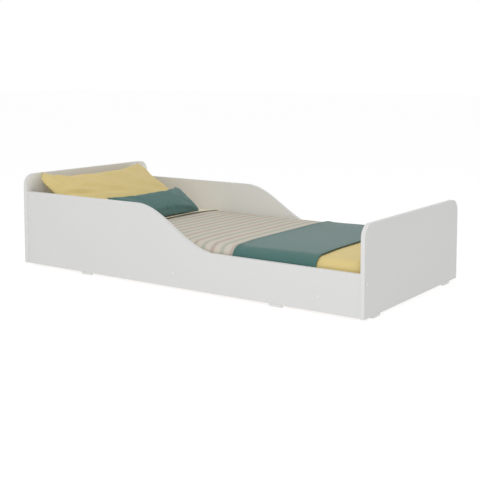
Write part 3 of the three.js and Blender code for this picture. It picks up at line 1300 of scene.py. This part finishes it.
@dataclass
class Mattress(SubAssembly):
    """The foam mattress in its quilted cover, with a piped lower edge."""

    slab: Slab
    dips: float = 1.2 * MM
    sink: float = 1.3 * MM  # so that the dips stay inside the slab
    piping: float = 2.2 * MM

    def build(self, shop: Workshop) -> None:
        """Builds the mattress and its piping.

        Args:
            shop: The workshop.
        """
        slab = self.slab
        arc = slab.edge * math.pi / 2
        over = np.linspace(0, arc, 8)[1:]
        side = arc + np.linspace(0, slab.side, 4)[1:]
        under = arc + slab.side + over
        points, faces, _ = slab.shell(np.concatenate([over, side, under]), 0.0, closed=True)
        pad = mesh_object("mattress_pad", points, faces, weld=0.01 * MM)
        places = coordinates_of(pad.data)
        dip = self.dips * wrinkle(places, 0.11, 4.0) - self.sink
        move_points(pad.data, places + normals_of(pad.data) * dip[:, None])
        pad.data.materials.append(QuiltedTicking().material())
        shop.fit(pad, Body.MATTRESS, Slot.MATTRESS, "mattress")
        rim, ways = slab.rim()
        out, height, _, _ = slab.fall(np.array(arc + slab.side + arc / 2), 0.0)
        line = np.column_stack([rim + ways * out, np.full(len(rim), height)])
        source = line_object("piping_line", [line], closed=True)
        cord = PlainCotton("piping_cotton", srgb(214, 210, 200)).material()
        piping = shop.welts.make("mattress_piping", source, cord, Radius=self.piping)
        map_cloth(piping.data, coordinates_of(piping.data)[:, :2])
        shop.fit(piping, Body.MATTRESS, Slot.MATTRESS)


@dataclass
class FittedSheet(SubAssembly):
    """The yellow fitted sheet, gathered at its corners by an elastic hem."""

    slab: Slab
    thickness: float = 1 * MM
    creases: float = 1.1 * MM
    gather: float = 1.0 * MM
    gather_reach: float = 0.16  # from a corner of the flat top, back along both sides
    pleats: float = 46.0  # to a full turn round a corner
    hem_tube: float = 1.6 * MM
    ripple: float = 0.4 * MM

    def build(self, shop: Workshop) -> None:
        """Builds the sheet and its elastic hem.

        Args:
            shop: The workshop.
        """
        slab = self.slab
        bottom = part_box("fitted_sheet")[0].z
        total = slab.reach(bottom) - slab.core[1]
        distances = np.linspace(0, total, 20)[1:]
        grow = CLEARANCE + self.thickness
        laid, faces, laid_depth = slab.shell(distances, grow, closed=False)
        cover = mesh_object("sheet_cover", laid, faces, weld=0.02 * MM)
        points = coordinates_of(cover.data)
        depth = laid_depth[nearest_rows(laid, points)]
        lift = self.relief(points, depth, total)
        move_points(cover.data, points + normals_of(cover.data) * lift[:, None])
        half_x, half_y = slab.core
        core = np.clip(points[:, :2], (-half_x, -half_y), (half_x, half_y))
        ways = points[:, :2] - core
        lengths = np.maximum(np.linalg.norm(ways, axis=1), 1e-9)[:, None]
        map_cloth(cover.data, core + ways / lengths * depth[:, None])
        cotton = YELLOW_COTTON.material()
        cover.data.materials.append(cotton)
        wall = cover.modifiers.new("wall", "SOLIDIFY")
        wall.thickness = self.thickness
        wall.offset = -1.0
        sheet = plain_copy(cover, "fitted_sheet_cover")
        discard(cover)
        smooth(sheet.data)
        hem = self.hem(shop, slab, total, cotton)
        shop.fit(sheet, Body.MATTRESS, Slot.YELLOW, "fitted_sheet")

    def relief(self, points: np.ndarray, depth: np.ndarray, total: float) -> np.ndarray:
        """Gives the height of the sheet's slack folds: soft on top, tight pleats at the gathered corners.

        Args:
            points: The sheet's points.
            depth: Their distance from the flat top.
            total: The distance at the hem.

        Returns:
            The height at each point, never below 0.
        """
        stretched = points * np.array((2.6, 1.0, 1.0))
        turned = stretched[:, [1, 0, 2]]
        soft = np.abs(wrinkle(stretched, 0.09, 2.0)) + 0.6 * np.abs(wrinkle(turned, 0.05, 5.0))
        past = np.abs(points[:, :2]) - np.array(self.slab.core)
        near = np.clip(past / self.gather_reach + 1, 0, 1)
        corner = near[:, 0] * near[:, 1] * ease(depth / total)
        fan = past + 0.75 * self.gather_reach
        pleats = 0.5 + 0.5 * np.sin(np.arctan2(fan[:, 1], fan[:, 0]) * self.pleats)
        return self.creases * soft + self.gather * corner * pleats

    def hem(self, shop: Workshop, slab: Slab, total: float, cotton: bpy.types.Material) -> bpy.types.Object:
        """Runs the elastic's tube round the sheet's lower edge.

        Args:
            shop: The workshop.
            slab: The mattress's slab.
            total: The hem's distance from the flat top.
            cotton: The hem's finish.

        Returns:
            The hem.
        """
        rim, ways = slab.rim()
        out, height, _, _ = slab.fall(np.array(total), CLEARANCE + self.thickness)
        ripple = self.ripple * np.sin(np.arange(len(rim)) * 1.9)
        line = np.column_stack([rim + ways * (out + ripple)[:, None], np.full(len(rim), float(height))])
        source = line_object("hem_line", [line], closed=True)
        hem = shop.welts.make("sheet_elastic_hem", source, cotton, Radius=self.hem_tube)
        map_cloth(hem.data, coordinates_of(hem.data)[:, :2])
        return shop.fit(hem, Body.MATTRESS, Slot.YELLOW)


@dataclass(frozen=True)
class Stitch:
    """A running stitch's sizes."""

    pitch: float = 4.2 * MM
    length: float = 2.9 * MM
    radius: float = 0.35 * MM
    from_end: float = 11 * MM  # from the cloth's end to the line of stitches


@dataclass
class Cover(SubAssembly):
    """A cloth laid across the mattress, with hemmed ends and stitches beside them."""

    EDGE_STEPS = (0.0, 0.4, 1.2, 3.0, 6.0, 9.0, 11.0, 12.0, 13.0, 15.0, 19.0)  # in mm from an end

    slab: Slab
    node: str
    name: str
    slot: Slot
    under: float  # from the mattress to the cloth's underside
    thickness: float
    hem: float = 12 * MM
    hem_rise: float = 0.5 * MM
    stitch: Stitch = Stitch()
    swell: float = 0.7 * MM
    seed: float = 1.0
    along_step: float = 8 * MM
    lift_head: float = 0.0
    lift_foot: float = 0.0
    lift_reach: float = 45 * MM

    def section(self) -> np.ndarray:
        """Spaces the places along the cloth's width, closer together over the mattress's edges.

        Returns:
            The places, from the middle of the top.
        """
        reach = self.slab.reach(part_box(self.node)[0].z)
        flat = self.slab.core[1]
        inner = np.linspace(-flat, flat, 75)
        outer = np.linspace(flat, reach, 22)[1:]
        return np.concatenate([-outer[::-1], inner, outer])

    def stations(self) -> np.ndarray:
        """Spaces the places along the bed, closer together at both hems.

        Returns:
            The places.
        """
        start, end = (corner.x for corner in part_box(self.node))
        ends = np.array(self.EDGE_STEPS) * MM
        inner = np.linspace(start + 24 * MM, end - 24 * MM, round((end - start) / self.along_step))
        return np.concatenate([start + ends, inner, (end - ends)[::-1]])

    def relief(self, xs: np.ndarray, ss: np.ndarray) -> np.ndarray:
        """Gives the slack in the cloth over its layer below, never below 0.

        Args:
            xs: Places along the bed, as a grid.
            ss: Places across, as a grid.

        Returns:
            The height at each.
        """
        places = np.column_stack([xs.ravel(), ss.ravel() * 0.6, np.zeros(xs.size)])
        soft = np.abs(wrinkle(places, 0.10, self.seed)) + 0.35 * np.abs(wrinkle(places, 0.035, self.seed + 3))
        return self.swell * soft.reshape(xs.shape)

    def ends(self, xs: np.ndarray) -> tuple[np.ndarray, np.ndarray]:
        """Gives the hems' extra thickness and the lift of the cloth's loose ends.

        Args:
            xs: Places along the bed, as a grid.

        Returns:
            The extra thickness and the lift.
        """
        from_head, from_foot = xs - xs.min(), xs.max() - xs
        nearest = np.minimum(from_head, from_foot)
        rise = self.hem_rise * (1 - ease((nearest - self.hem) / (1.5 * MM)))
        rounding = self.thickness * 0.42 * (1 - ease(nearest / (1.6 * MM)))
        lift = self.lift_head * (1 - ease(from_head / self.lift_reach))
        lift += self.lift_foot * (1 - ease(from_foot / self.lift_reach))
        return rise - rounding, lift

    def surface(self, xs: np.ndarray, ss: np.ndarray, grow: np.ndarray) -> np.ndarray:
        """Places a grid of the cloth.

        Args:
            xs: Places along the bed, as a grid.
            ss: Places across, as a grid.
            grow: How far outside the mattress each is.

        Returns:
            The points, as a grid of rows of three.
        """
        ys, zs, _, _ = self.slab.across(ss, grow)
        return self.slab.sagged(np.stack([xs, ys, zs], axis=-1))

    def build(self, shop: Workshop) -> None:
        """Builds the cloth and its stitches.

        Args:
            shop: The workshop.
        """
        xs, ss = np.meshgrid(self.stations(), self.section(), indexing="ij")
        slack = self.relief(xs, ss)
        rise, lift = self.ends(xs)
        inner = self.surface(xs, ss, self.under + slack + lift - np.minimum(rise, 0) * 0.6)
        outer = self.surface(xs, ss, self.under + slack + lift + self.thickness + rise)
        piece = closed_cloth(self.name, outer, inner, np.stack([xs, ss], axis=-1))
        piece.data.materials.append(self.finish().material())
        stitches = self.sew(shop, outer, xs)
        shop.fit(piece, Body.MATTRESS, self.slot, self.node)

    def sew(self, shop: Workshop, outer: np.ndarray, xs: np.ndarray) -> bpy.types.Object:
        """Runs a line of stitches beside each hem.

        Args:
            shop: The workshop.
            outer: The cloth's outer surface, as a grid.
            xs: Its places along the bed.

        Returns:
            The stitches.
        """
        places = xs[:, 0]
        targets = (places[0] + self.stitch.from_end, places[-1] - self.stitch.from_end)
        rows = [int(np.argmin(np.abs(places - target))) for target in targets]
        source = line_object(self.name + "_stitch_lines", [outer[row] for row in rows])
        made = shop.stitches.make(
            self.name + "_stitches",
            source,
            self.thread().material(),
            Pitch=self.stitch.pitch,
            Length=self.stitch.length,
            Radius=self.stitch.radius,
        )
        return shop.fit(made, Body.MATTRESS, self.slot)

    def finish(self) -> PlainCotton | StripedCotton:
        """Gives the cloth's finish."""
        raise NotImplementedError

    def thread(self) -> Thread:
        """Gives the stitches' finish."""
        raise NotImplementedError


@dataclass
class Throw(Cover):
    """The teal throw across the foot of the bed."""

    def finish(self) -> PlainCotton:
        """Gives the throw's cotton."""
        return THROW_COTTON

    def thread(self) -> Thread:
        """Gives a thread a little darker than the throw."""
        return Thread("teal_thread", srgb(66, 104, 99))


@dataclass
class StripedQuilt(Cover):
    """The striped quilt, with its head end turned back over itself."""

    # in mm from the turned-back end's own edge
    FOLD_STEPS = (40.0, 32.0, 25.0, 19.0, 15.0, 13.0, 12.0, 9.0, 6.0, 3.0, 1.2, 0.4, 0.0)

    fold_edge: float = -0.3105  # where the turned-back end stops, along the bed
    fold_lift: float = 5.6 * MM  # at its edge, in the middle of the bed
    fold_reach: float = 36 * MM
    fold_thickness: float = 2.4 * MM
    fold_tuck: float = 1.6 * MM  # how much closer it lies away from its edge
    tuck_reach: float = 60 * MM

    def finish(self) -> StripedCotton:
        """Gives the quilt's striped cotton."""
        return StripedCotton()

    def thread(self) -> Thread:
        """Gives a cream thread."""
        return Thread("cream_thread", srgb(206, 199, 186))

    def build(self, shop: Workshop) -> None:
        """Builds the quilt, then the turned-back end that lies on it.

        Args:
            shop: The workshop.
        """
        super().build(shop)
        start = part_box(self.node)[0].x + 1 * MM
        inner_stations = np.linspace(start, self.fold_edge - 45 * MM, 26)
        stations = np.concatenate([inner_stations, self.fold_edge - np.array(self.FOLD_STEPS) * MM])
        xs, ss = np.meshgrid(stations, self.section(), indexing="ij")
        to_edge = self.fold_edge - xs
        lift = self.fold_lift * (1 - ease(to_edge / self.fold_reach)) ** 1.5
        lift *= 1 - 0.6 * ease(share_of(np.abs(ss), 0.12, 0.30))
        tuck = self.fold_tuck * ease(to_edge / self.tuck_reach)
        base = self.under + self.thickness + self.relief(xs, ss) + 0.2 * MM - tuck + lift
        thick = self.fold_thickness - 1.0 * MM * (1 - ease(to_edge / (1.6 * MM)))
        inner = self.surface(xs, ss, base)
        outer = self.surface(xs, ss, base + thick)
        band = closed_cloth("quilt_turned_back", outer, inner, np.stack([xs, ss], axis=-1))
        # Painted light: the turned-back cream is lighter than the quilt's own cream, to make up for the
        # cushion's shade over it.
        band.data.materials.append(PlainCotton("cream_cotton_painted_lighter", srgb(236, 226, 203), 0.2).material())
        shop.fit(band, Body.MATTRESS, self.slot)


def closed_cloth(name: str, outer: np.ndarray, inner: np.ndarray, flat: np.ndarray) -> bpy.types.Object:
    """Joins a cloth's two faces round their edges into one closed piece.

    Args:
        name: The piece's name.
        outer: The outer face, as a grid of points.
        inner: The inner face, likewise.
        flat: Each point's place on the flat cloth.

    Returns:
        The piece.
    """
    rows, columns = outer.shape[:2]
    size = rows * columns
    at = np.arange(size).reshape(rows, columns)
    faces = []
    for i in range(rows - 1):
        for j in range(columns - 1):
            quad = (at[i, j], at[i + 1, j], at[i + 1, j + 1], at[i, j + 1])
            faces.append(quad)
            faces.append(tuple(size + corner for corner in reversed(quad)))
    border = [*at[0, :-1], *at[:-1, -1], *at[-1, :0:-1], *at[:0:-1, 0]]
    for a, b in zip(border, border[1:] + border[:1]):
        faces.append((a, b, size + b, size + a))
    points = np.vstack([outer.reshape(-1, 3), inner.reshape(-1, 3)])
    piece = mesh_object(name, points, faces)
    map_cloth(piece.data, np.vstack([flat.reshape(-1, 2)] * 2))
    return piece


@dataclass(frozen=True)
class Crease:
    """A fold line on a stuffed piece, in shares of its half width and half length."""

    start: tuple[float, float]
    end: tuple[float, float]
    width: float
    depth: float


CLOTH_SETTINGS = {
    "quality": 6,
    "mass": 0.25,
    "tension_stiffness": 18,
    "compression_stiffness": 18,
    "shear_stiffness": 6,
    "bending_stiffness": 0.4,
    "use_pressure": True,
}


@dataclass
class StuffedPiece(SubAssembly):
    """A stuffed cotton piece that leans between its two long edges, inflated as cloth and then seamed."""

    name: str
    node: str
    body: Body
    slot: Slot
    width: float
    shift: float  # of its middle, across the bed
    top: tuple[float, float]  # its upper edge, past the headboard's outer face and above its foot
    bottom: tuple[float, float]
    thickness: float
    pull_near: float  # how far the front side is pulled in between its corners, and then the others
    pull_far: float
    pull_top: float
    pull_bottom: float
    ears: float  # the higher, the more pointed the corners
    fill: float
    fullness: float = 0.5
    blunt: float = 0.0  # how far the upper front corner is pushed up, and over twice as far inwards
    droop: float = 0.0  # how far the front side hangs back between its corners
    slack: float = 2.8 * MM
    cap: float = 16 * MM
    voxel: float = 6 * MM
    pressure: float = 4.0
    frames: int = 20
    creases: tuple[Crease, ...] = ()
    seed: float = 1.0
    grid: int = 44
    seam_welt: float = 1.1 * MM
    pucker: float = 1.3 * MM
    pucker_pitch: float = 17 * MM
    pucker_reach: float = 22 * MM  # in from the seam
    gap: float = 0.6 * MM  # to what it rests on
    centre: Vector = field(init=False)
    length: float = field(init=False)
    up: Vector = field(init=False)
    out: Vector = field(init=False)

    def __post_init__(self) -> None:
        """Works out the piece's own axes."""
        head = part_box("headboard")[0]
        upper = Vector((head.x + self.top[0], self.shift, head.z + self.top[1]))
        lower = Vector((head.x + self.bottom[0], self.shift, head.z + self.bottom[1]))
        self.centre = (upper + lower) / 2
        self.length = (upper - lower).length
        self.up = (upper - lower).normalized()
        self.out = Vector((0, 1, 0)).cross(self.up).normalized()

    @property
    def axes(self) -> np.ndarray:
        """Gives the piece's own axes, across, up the lean and out, as rows."""
        return np.array([(0, 1, 0), tuple(self.up), tuple(self.out)])

    def place(self, local: np.ndarray) -> np.ndarray:
        """Turns the piece's own coordinates into the part's frame."""
        return local @ self.axes + np.array(self.centre)

    def own(self, points: np.ndarray) -> np.ndarray:
        """Turns places in the part's frame into the piece's own coordinates."""
        return (points - np.array(self.centre)) @ self.axes.T

    def outline(self, a: np.ndarray, b: np.ndarray) -> tuple[np.ndarray, np.ndarray]:
        """Places a point of the flat piece, whose sides pull in between their corners.

        Args:
            a: Share of the half width, -1 to 1.
            b: Share of the half length, -1 to 1.

        Returns:
            The places across and up the lean.
        """
        side = np.where(a > 0, self.pull_far, self.pull_near)
        across = self.width / 2 * a - side * a * np.abs(a) * (1 - b * b)
        pull = np.where(b > 0, self.pull_top, self.pull_bottom)
        upward = self.length / 2 * b - pull * b * np.abs(b) * (1 - np.abs(a) ** self.ears)
        corner = self.blunt * ease((-a - 0.78) / 0.22) * ease((b - 0.84) / 0.16)
        return across + 2.4 * corner, upward + corner

    def hang(self, a: np.ndarray, b: np.ndarray) -> np.ndarray:
        """Gives how far a point of the flat piece droops out of its plane, as a height of 0 or less."""
        return -self.droop * ease(-a - 0.1) * (1 - b**4)

    def start_shape(self) -> bpy.types.Object:
        """Makes the two sewn panels, already part filled.

        Returns:
            The shape.
        """
        share = np.sin(np.linspace(-math.pi / 2, math.pi / 2, self.grid))
        a, b = np.meshgrid(share, share, indexing="ij")
        across, upward = self.outline(a, b)
        loft = ((1 - a**2) * (1 - b**2)) ** self.fullness
        half = self.thickness / 2 * loft
        middle = self.hang(a, b)
        front = self.place(np.stack([across, upward, middle + half], axis=-1).reshape(-1, 3))
        back = self.place(np.stack([across, upward, middle - half], axis=-1).reshape(-1, 3))
        at = np.arange(front.shape[0]).reshape(self.grid, self.grid)
        faces = []
        for i in range(self.grid - 1):
            for j in range(self.grid - 1):
                quad = (at[i, j], at[i + 1, j], at[i + 1, j + 1], at[i, j + 1])
                faces.append(quad)
                faces.append(tuple(len(front) + corner for corner in reversed(quad)))
        return mesh_object(self.name + "_start", np.vstack([front, back]), faces, weld=0.05 * MM)

    def remeshed(self, start: bpy.types.Object) -> bpy.types.Object:
        """Gives the panels an even mesh.

        Args:
            start: The panels.

        Returns:
            The evenly meshed piece.
        """
        remesh = start.modifiers.new("even", "REMESH")
        remesh.mode = "VOXEL"
        remesh.voxel_size = self.voxel
        even = plain_copy(start, self.name)
        discard(start)
        return even

    def inflate(self, piece: bpy.types.Object) -> None:
        """Blows the piece up as cloth, and keeps each point within the cap.

        Args:
            piece: The evenly meshed piece.
        """
        before = coordinates_of(piece.data)
        cloth = piece.modifiers.new("cloth", "CLOTH")
        for key, value in CLOTH_SETTINGS.items():
            setattr(cloth.settings, key, value)
        cloth.settings.uniform_pressure_force = self.pressure
        cloth.settings.effector_weights.gravity = 0
        cloth.collision_settings.use_collision = False
        cloth.collision_settings.use_self_collision = False
        cloth.point_cache.frame_start = 1
        cloth.point_cache.frame_end = self.frames
        scene = bpy.context.scene
        for step in range(1, self.frames + 1):
            scene.frame_set(step)
        graph = bpy.context.evaluated_depsgraph_get()
        after = coordinates_of(piece.evaluated_get(graph).data)
        piece.modifiers.remove(cloth)
        scene.frame_set(1)
        moved = after - before
        length = np.maximum(np.linalg.norm(moved, axis=1), 1e-9)
        allowed = np.minimum(length, self.cap) / length
        move_points(piece.data, before + moved * allowed[:, None])

    def crumple(self, piece: bpy.types.Object) -> None:
        """Adds the folds: puckers at the seams, soft slack and the piece's own creases.

        Args:
            piece: The inflated piece.
        """
        places = coordinates_of(piece.data)
        normals = normals_of(piece.data)
        local = self.own(places)
        a = local[:, 0] / (self.width / 2)
        b = local[:, 1] / (self.length / 2)
        to_side = np.maximum(1 - np.abs(a), 0) * self.width / 2
        to_end = np.maximum(1 - np.abs(b), 0) * self.length / 2
        seam = np.minimum(to_side, to_end)
        run = np.where(to_side < to_end, local[:, 1], local[:, 0])
        phase = 0.5 * wrinkle(local, 0.05, self.seed + 2)
        pucker = np.sin(run * 2 * math.pi / self.pucker_pitch + 6 * phase) * np.exp(-seam / self.pucker_reach)
        slack = wrinkle(local, 0.085, self.seed) + 0.45 * wrinkle(local, 0.04, self.seed + 1)
        height = self.pucker * pucker + self.slack * slack
        for crease in self.creases:
            height -= crease.depth * self.along(crease, a, b)
        move_points(piece.data, places + normals * height[:, None])

    def along(self, crease: Crease, a: np.ndarray, b: np.ndarray) -> np.ndarray:
        """Gives how strongly a crease acts at each point of the front.

        Args:
            crease: The crease.
            a: Shares of the half width.
            b: Shares of the half length.

        Returns:
            A share of the crease's depth, with a small ridge on both sides.
        """
        scale = np.array((self.width / 2, self.length / 2))
        start, end = np.array(crease.start) * scale, np.array(crease.end) * scale
        point = np.stack([a, b], axis=-1) * scale
        line = end - start
        share = np.clip(((point - start) @ line) / (line @ line), 0, 1)
        offset = np.linalg.norm(point - start - share[:, None] * line, axis=1) / crease.width
        taper = np.sin(math.pi * np.clip(share, 0.04, 0.96)) ** 0.6
        return (np.exp(-(offset**2)) - 0.45 * np.exp(-((offset - 1.9) ** 2))) * taper

    def settle(self, piece: bpy.types.Object, supports: Sequence[BVHTree]) -> None:
        """Flattens the piece where it rests on the headboard and on the pieces below it.

        Args:
            piece: The piece.
            supports: The search trees of what it lies on.
        """
        places = coordinates_of(piece.data)
        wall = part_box("headboard")[1].x + self.gap
        places[:, 0] = np.maximum(places[:, 0], wall)
        for support in supports:
            for i, point in enumerate(places):
                hit = support.ray_cast(Vector((point[0], point[1], 1.0)), Vector((0, 0, -1)))[0]
                if hit is not None and point[2] < hit.z + self.gap:
                    places[i, 2] = hit.z + self.gap
        move_points(piece.data, places)

    def seam_line(self, piece: bpy.types.Object) -> np.ndarray:
        """Follows the sewn edge round the finished piece.

        Args:
            piece: The piece.

        Returns:
            The points of the seam.
        """
        tree = bvh_of(piece)
        share = np.sin(np.linspace(-math.pi / 2, math.pi / 2, 64))
        ring = [(x, -1.0) for x in share[:-1]] + [(1.0, y) for y in share[:-1]]
        ring += [(x, 1.0) for x in share[:0:-1]] + [(-1.0, y) for y in share[:0:-1]]
        ring_a, ring_b = np.array(ring).T
        across, upward = self.outline(ring_a, ring_b)
        edge = self.place(np.column_stack([across * 1.02, upward * 1.02, self.hang(ring_a, ring_b)]))
        points = []
        for point in edge:
            found = tree.find_nearest(Vector(point))
            points.append(found[0] + found[1] * 0.1 * MM)
        line = np.array([tuple(point) for point in points])
        for _ in range(3):
            line = (np.roll(line, 1, axis=0) + 2 * line + np.roll(line, -1, axis=0)) / 4
        return line

    def construct(
        self, shop: Workshop, cotton: bpy.types.Material, supports: Sequence[BVHTree]
    ) -> bpy.types.Object:
        """Builds the piece and its seam.

        Args:
            shop: The workshop.
            cotton: The finish.
            supports: The search trees of what it lies on.

        Returns:
            The piece.
        """
        piece = self.remeshed(self.start_shape())
        self.inflate(piece)
        self.crumple(piece)
        finer = piece.modifiers.new("finer", "SUBSURF")
        finer.levels = finer.render_levels = 1
        fine = plain_copy(piece, self.name)
        discard(piece)
        fine.name = self.name
        self.settle(fine, supports)
        smooth(fine.data)
        fine.data.materials.clear()
        fine.data.materials.append(cotton)
        map_cloth(fine.data, self.own(coordinates_of(fine.data))[:, :2])
        source = line_object(self.name + "_seam_line", [self.seam_line(fine)], closed=True)
        seam = shop.welts.make(self.name + "_seam", source, cotton, Radius=self.seam_welt)
        map_cloth(seam.data, self.own(coordinates_of(seam.data))[:, :2])
        shop.fit(fine, self.body, self.slot, self.node)
        shop.fit(seam, self.body, self.slot)
        return fine


@dataclass
class Studio:
    """The pale floor, the soft light and the camera."""

    lens: float = 69.68
    position: tuple[float, float, float] = (2.115, -2.944, 0.785)
    azimuth: float = 35.21
    pitch: float = 4.95
    shift: float = -0.18
    floor_size: float = 60.0
    floor_tone: Colour = srgb(140, 140, 140)
    floor_glow: float = 0.80
    sky_level: float = 0.52
    sky_slope: tuple[float, float, float] = (-0.16, 0.20, 0.30)  # which way it grows brighter
    lamp_place: tuple[float, float, float] = (1.2, -2.8, 2.4)
    lamp_aim: tuple[float, float, float] = (0.0, 0.0, 0.15)
    lamp_side: float = 2.4
    lamp_power: float = 46.0  # in watts

    def build(self) -> None:
        """Sets up the floor, the lights and the camera."""
        self.lay_floor()
        self.light()
        self.hang_lamp()
        self.set_camera()

    def set_camera(self) -> None:
        """Makes the camera and gives it to the scene."""
        data = bpy.data.cameras.new("camera")
        data.lens = self.lens
        data.sensor_width = 36.0
        data.shift_y = self.shift
        data.clip_end = 200.0
        camera = bpy.data.objects.new("camera", data)
        camera.location = self.position
        camera.rotation_euler = (math.radians(90 - self.pitch), 0, math.radians(self.azimuth))
        bpy.context.scene.collection.objects.link(camera)
        bpy.context.scene.camera = camera

    def lay_floor(self) -> None:
        """Lays a wide pale floor that glows a little, as a lit studio sweep does."""
        half = self.floor_size / 2
        corners = np.array([(-half, -half, 0), (half, -half, 0), (half, half, 0), (-half, half, 0)])
        floor = mesh_object("floor", corners, [(0, 1, 2, 3)])
        graph = Graph("pale_floor")
        cloud = graph.noise(graph.coordinates(), 0.7, 2.0)
        shade = graph.math("MULTIPLY_ADD", cloud, 0.02, 0.98)
        graph.set(Base_Color=graph.tinted(self.floor_tone, shade), Roughness=0.9, Specular_IOR_Level=0.0)
        graph.set(Emission_Color=srgb(255, 255, 255), Emission_Strength=self.floor_glow)
        floor.data.materials.append(graph.material)

    def light(self) -> None:
        """Makes the surrounding light, brighter above and behind, which the camera sees as plain white."""
        world = bpy.data.worlds.new("studio")
        bpy.context.scene.world = world
        world.use_nodes = True
        sky = NodeTree(world.node_tree)
        direction = sky.node("ShaderNodeTexCoord").outputs["Generated"]
        values = {0: direction, 1: self.sky_slope}
        slope = sky.node("ShaderNodeVectorMath", values, operation="DOT_PRODUCT").outputs["Value"]
        level = sky.node("ShaderNodeMath", {0: slope, 1: self.sky_level}, operation="ADD").outputs[0]
        white = srgb(255, 255, 255)
        soft = sky.node("ShaderNodeBackground", {"Color": white, "Strength": level}).outputs[0]
        plain = sky.node("ShaderNodeBackground", {"Color": white, "Strength": 1.0}).outputs[0]
        seen = sky.node("ShaderNodeLightPath").outputs["Is Camera Ray"]
        mixed = sky.node("ShaderNodeMixShader", {0: seen, 1: soft, 2: plain}).outputs[0]
        sky.node("ShaderNodeOutputWorld", {"Surface": mixed})

    def hang_lamp(self) -> None:
        """Hangs one large square lamp at the front, pointed at the bed."""
        data = bpy.data.lights.new("key", "AREA")
        data.size = self.lamp_side
        data.energy = self.lamp_power
        lamp = bpy.data.objects.new("key", data)
        lamp.location = self.lamp_place
        aim = Vector(self.lamp_aim) - Vector(self.lamp_place)
        lamp.rotation_euler = aim.to_track_quat("-Z", "Y").to_euler()
        bpy.context.scene.collection.objects.link(lamp)


PILLOW_CREASES = (
    Crease((-0.84, 0.84), (-0.80, 0.14), 11 * MM, 4.5 * MM),
    Crease((-0.74, 0.84), (-0.22, 0.16), 17 * MM, 3.5 * MM),
    Crease((-0.95, 0.05), (-0.60, -0.22), 11 * MM, 9.0 * MM),
    Crease((-0.66, 0.10), (-0.30, -0.14), 13 * MM, 4.5 * MM),
    Crease((-0.50, -0.20), (0.06, -0.40), 16 * MM, 5.0 * MM),
    Crease((-0.30, 0.66), (0.10, 0.06), 22 * MM, 3.5 * MM),
    Crease((0.34, 0.80), (0.50, 0.10), 22 * MM, 3.5 * MM),
    Crease((0.90, 0.84), (0.58, 0.20), 16 * MM, 4.5 * MM),
    Crease((0.22, -0.16), (0.80, -0.50), 24 * MM, 4.0 * MM),
)

CUSHION_CREASES = (
    Crease((-0.90, 0.80), (-0.45, 0.15), 14 * MM, 2.5 * MM),
    Crease((0.92, 0.85), (0.56, 0.22), 13 * MM, 2.6 * MM),
    Crease((0.90, -0.80), (0.60, -0.30), 13 * MM, 1.2 * MM),
)


def main() -> None:
    """Builds the bed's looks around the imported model, from the frame up."""
    logging.basicConfig(level=logging.INFO, format="%(name)s: %(message)s")
    bpy.context.scene.view_settings.view_transform = "Standard"
    Studio().build()
    shop = Workshop(frame["nodes"])
    slab = Slab()
    sheet = FittedSheet(slab)
    quilt_under = 2 * CLEARANCE + sheet.thickness
    quilt_rise = 4 * MM  # its thickness and its slack
    throw_under = quilt_under + quilt_rise + CLEARANCE
    quilt = StripedQuilt(
        slab,
        "striped_quilt",
        "quilt_cover",
        Slot.STRIPED,
        under=quilt_under,
        thickness=3.4 * MM,
        swell=0.6 * MM,
        seed=11.0,
    )
    throw = Throw(
        slab,
        "throw_blanket",
        "throw_cover",
        Slot.TEAL,
        under=throw_under,
        thickness=2.3 * MM,
        seed=11.0,
        lift_head=1.6 * MM,
        lift_foot=0.4 * MM,
    )
    for part in (BoardFrame(), SlattedBase(), Fasteners(), Mattress(slab), sheet, quilt, throw):
        part.build(shop)
    yellow = YELLOW_COTTON.material()
    layers = ("quilt_cover", "quilt_turned_back", "fitted_sheet_cover")
    bedding = [bvh_of(bpy.data.objects[name]) for name in layers]
    pillow = StuffedPiece(
        "pillow_stuffed",
        "pillow",
        Body.PILLOW,
        Slot.YELLOW,
        width=0.624,
        shift=-19 * MM,
        top=(0.026, 0.362),
        bottom=(0.330, 0.194),
        thickness=0.066,
        pull_near=-6 * MM,
        pull_far=20 * MM,
        pull_top=50 * MM,
        pull_bottom=6 * MM,
        ears=2.2,
        blunt=13 * MM,
        droop=11 * MM,
        fullness=0.36,
        cap=10 * MM,
        fill=0.55,
        creases=PILLOW_CREASES,
        seed=21.0,
    ).construct(shop, yellow, bedding)
    StuffedPiece(
        "cushion_stuffed",
        "cushion",
        Body.CUSHION,
        Slot.TEAL,
        width=0.450,
        shift=-25 * MM,
        top=(0.331, 0.283),
        bottom=(0.474, 0.183),
        thickness=0.046,
        pull_near=4 * MM,
        pull_far=4 * MM,
        pull_top=17 * MM,
        pull_bottom=5 * MM,
        ears=4.5,
        fullness=0.42,
        fill=0.6,
        creases=CUSHION_CREASES,
        seed=33.0,
        voxel=5 * MM,
        cap=10 * MM,
        slack=1.4 * MM,
    ).construct(shop, CUSHION_COTTON.material(), [*bedding, bvh_of(pillow)])


if __name__ == "__main__":
    main()
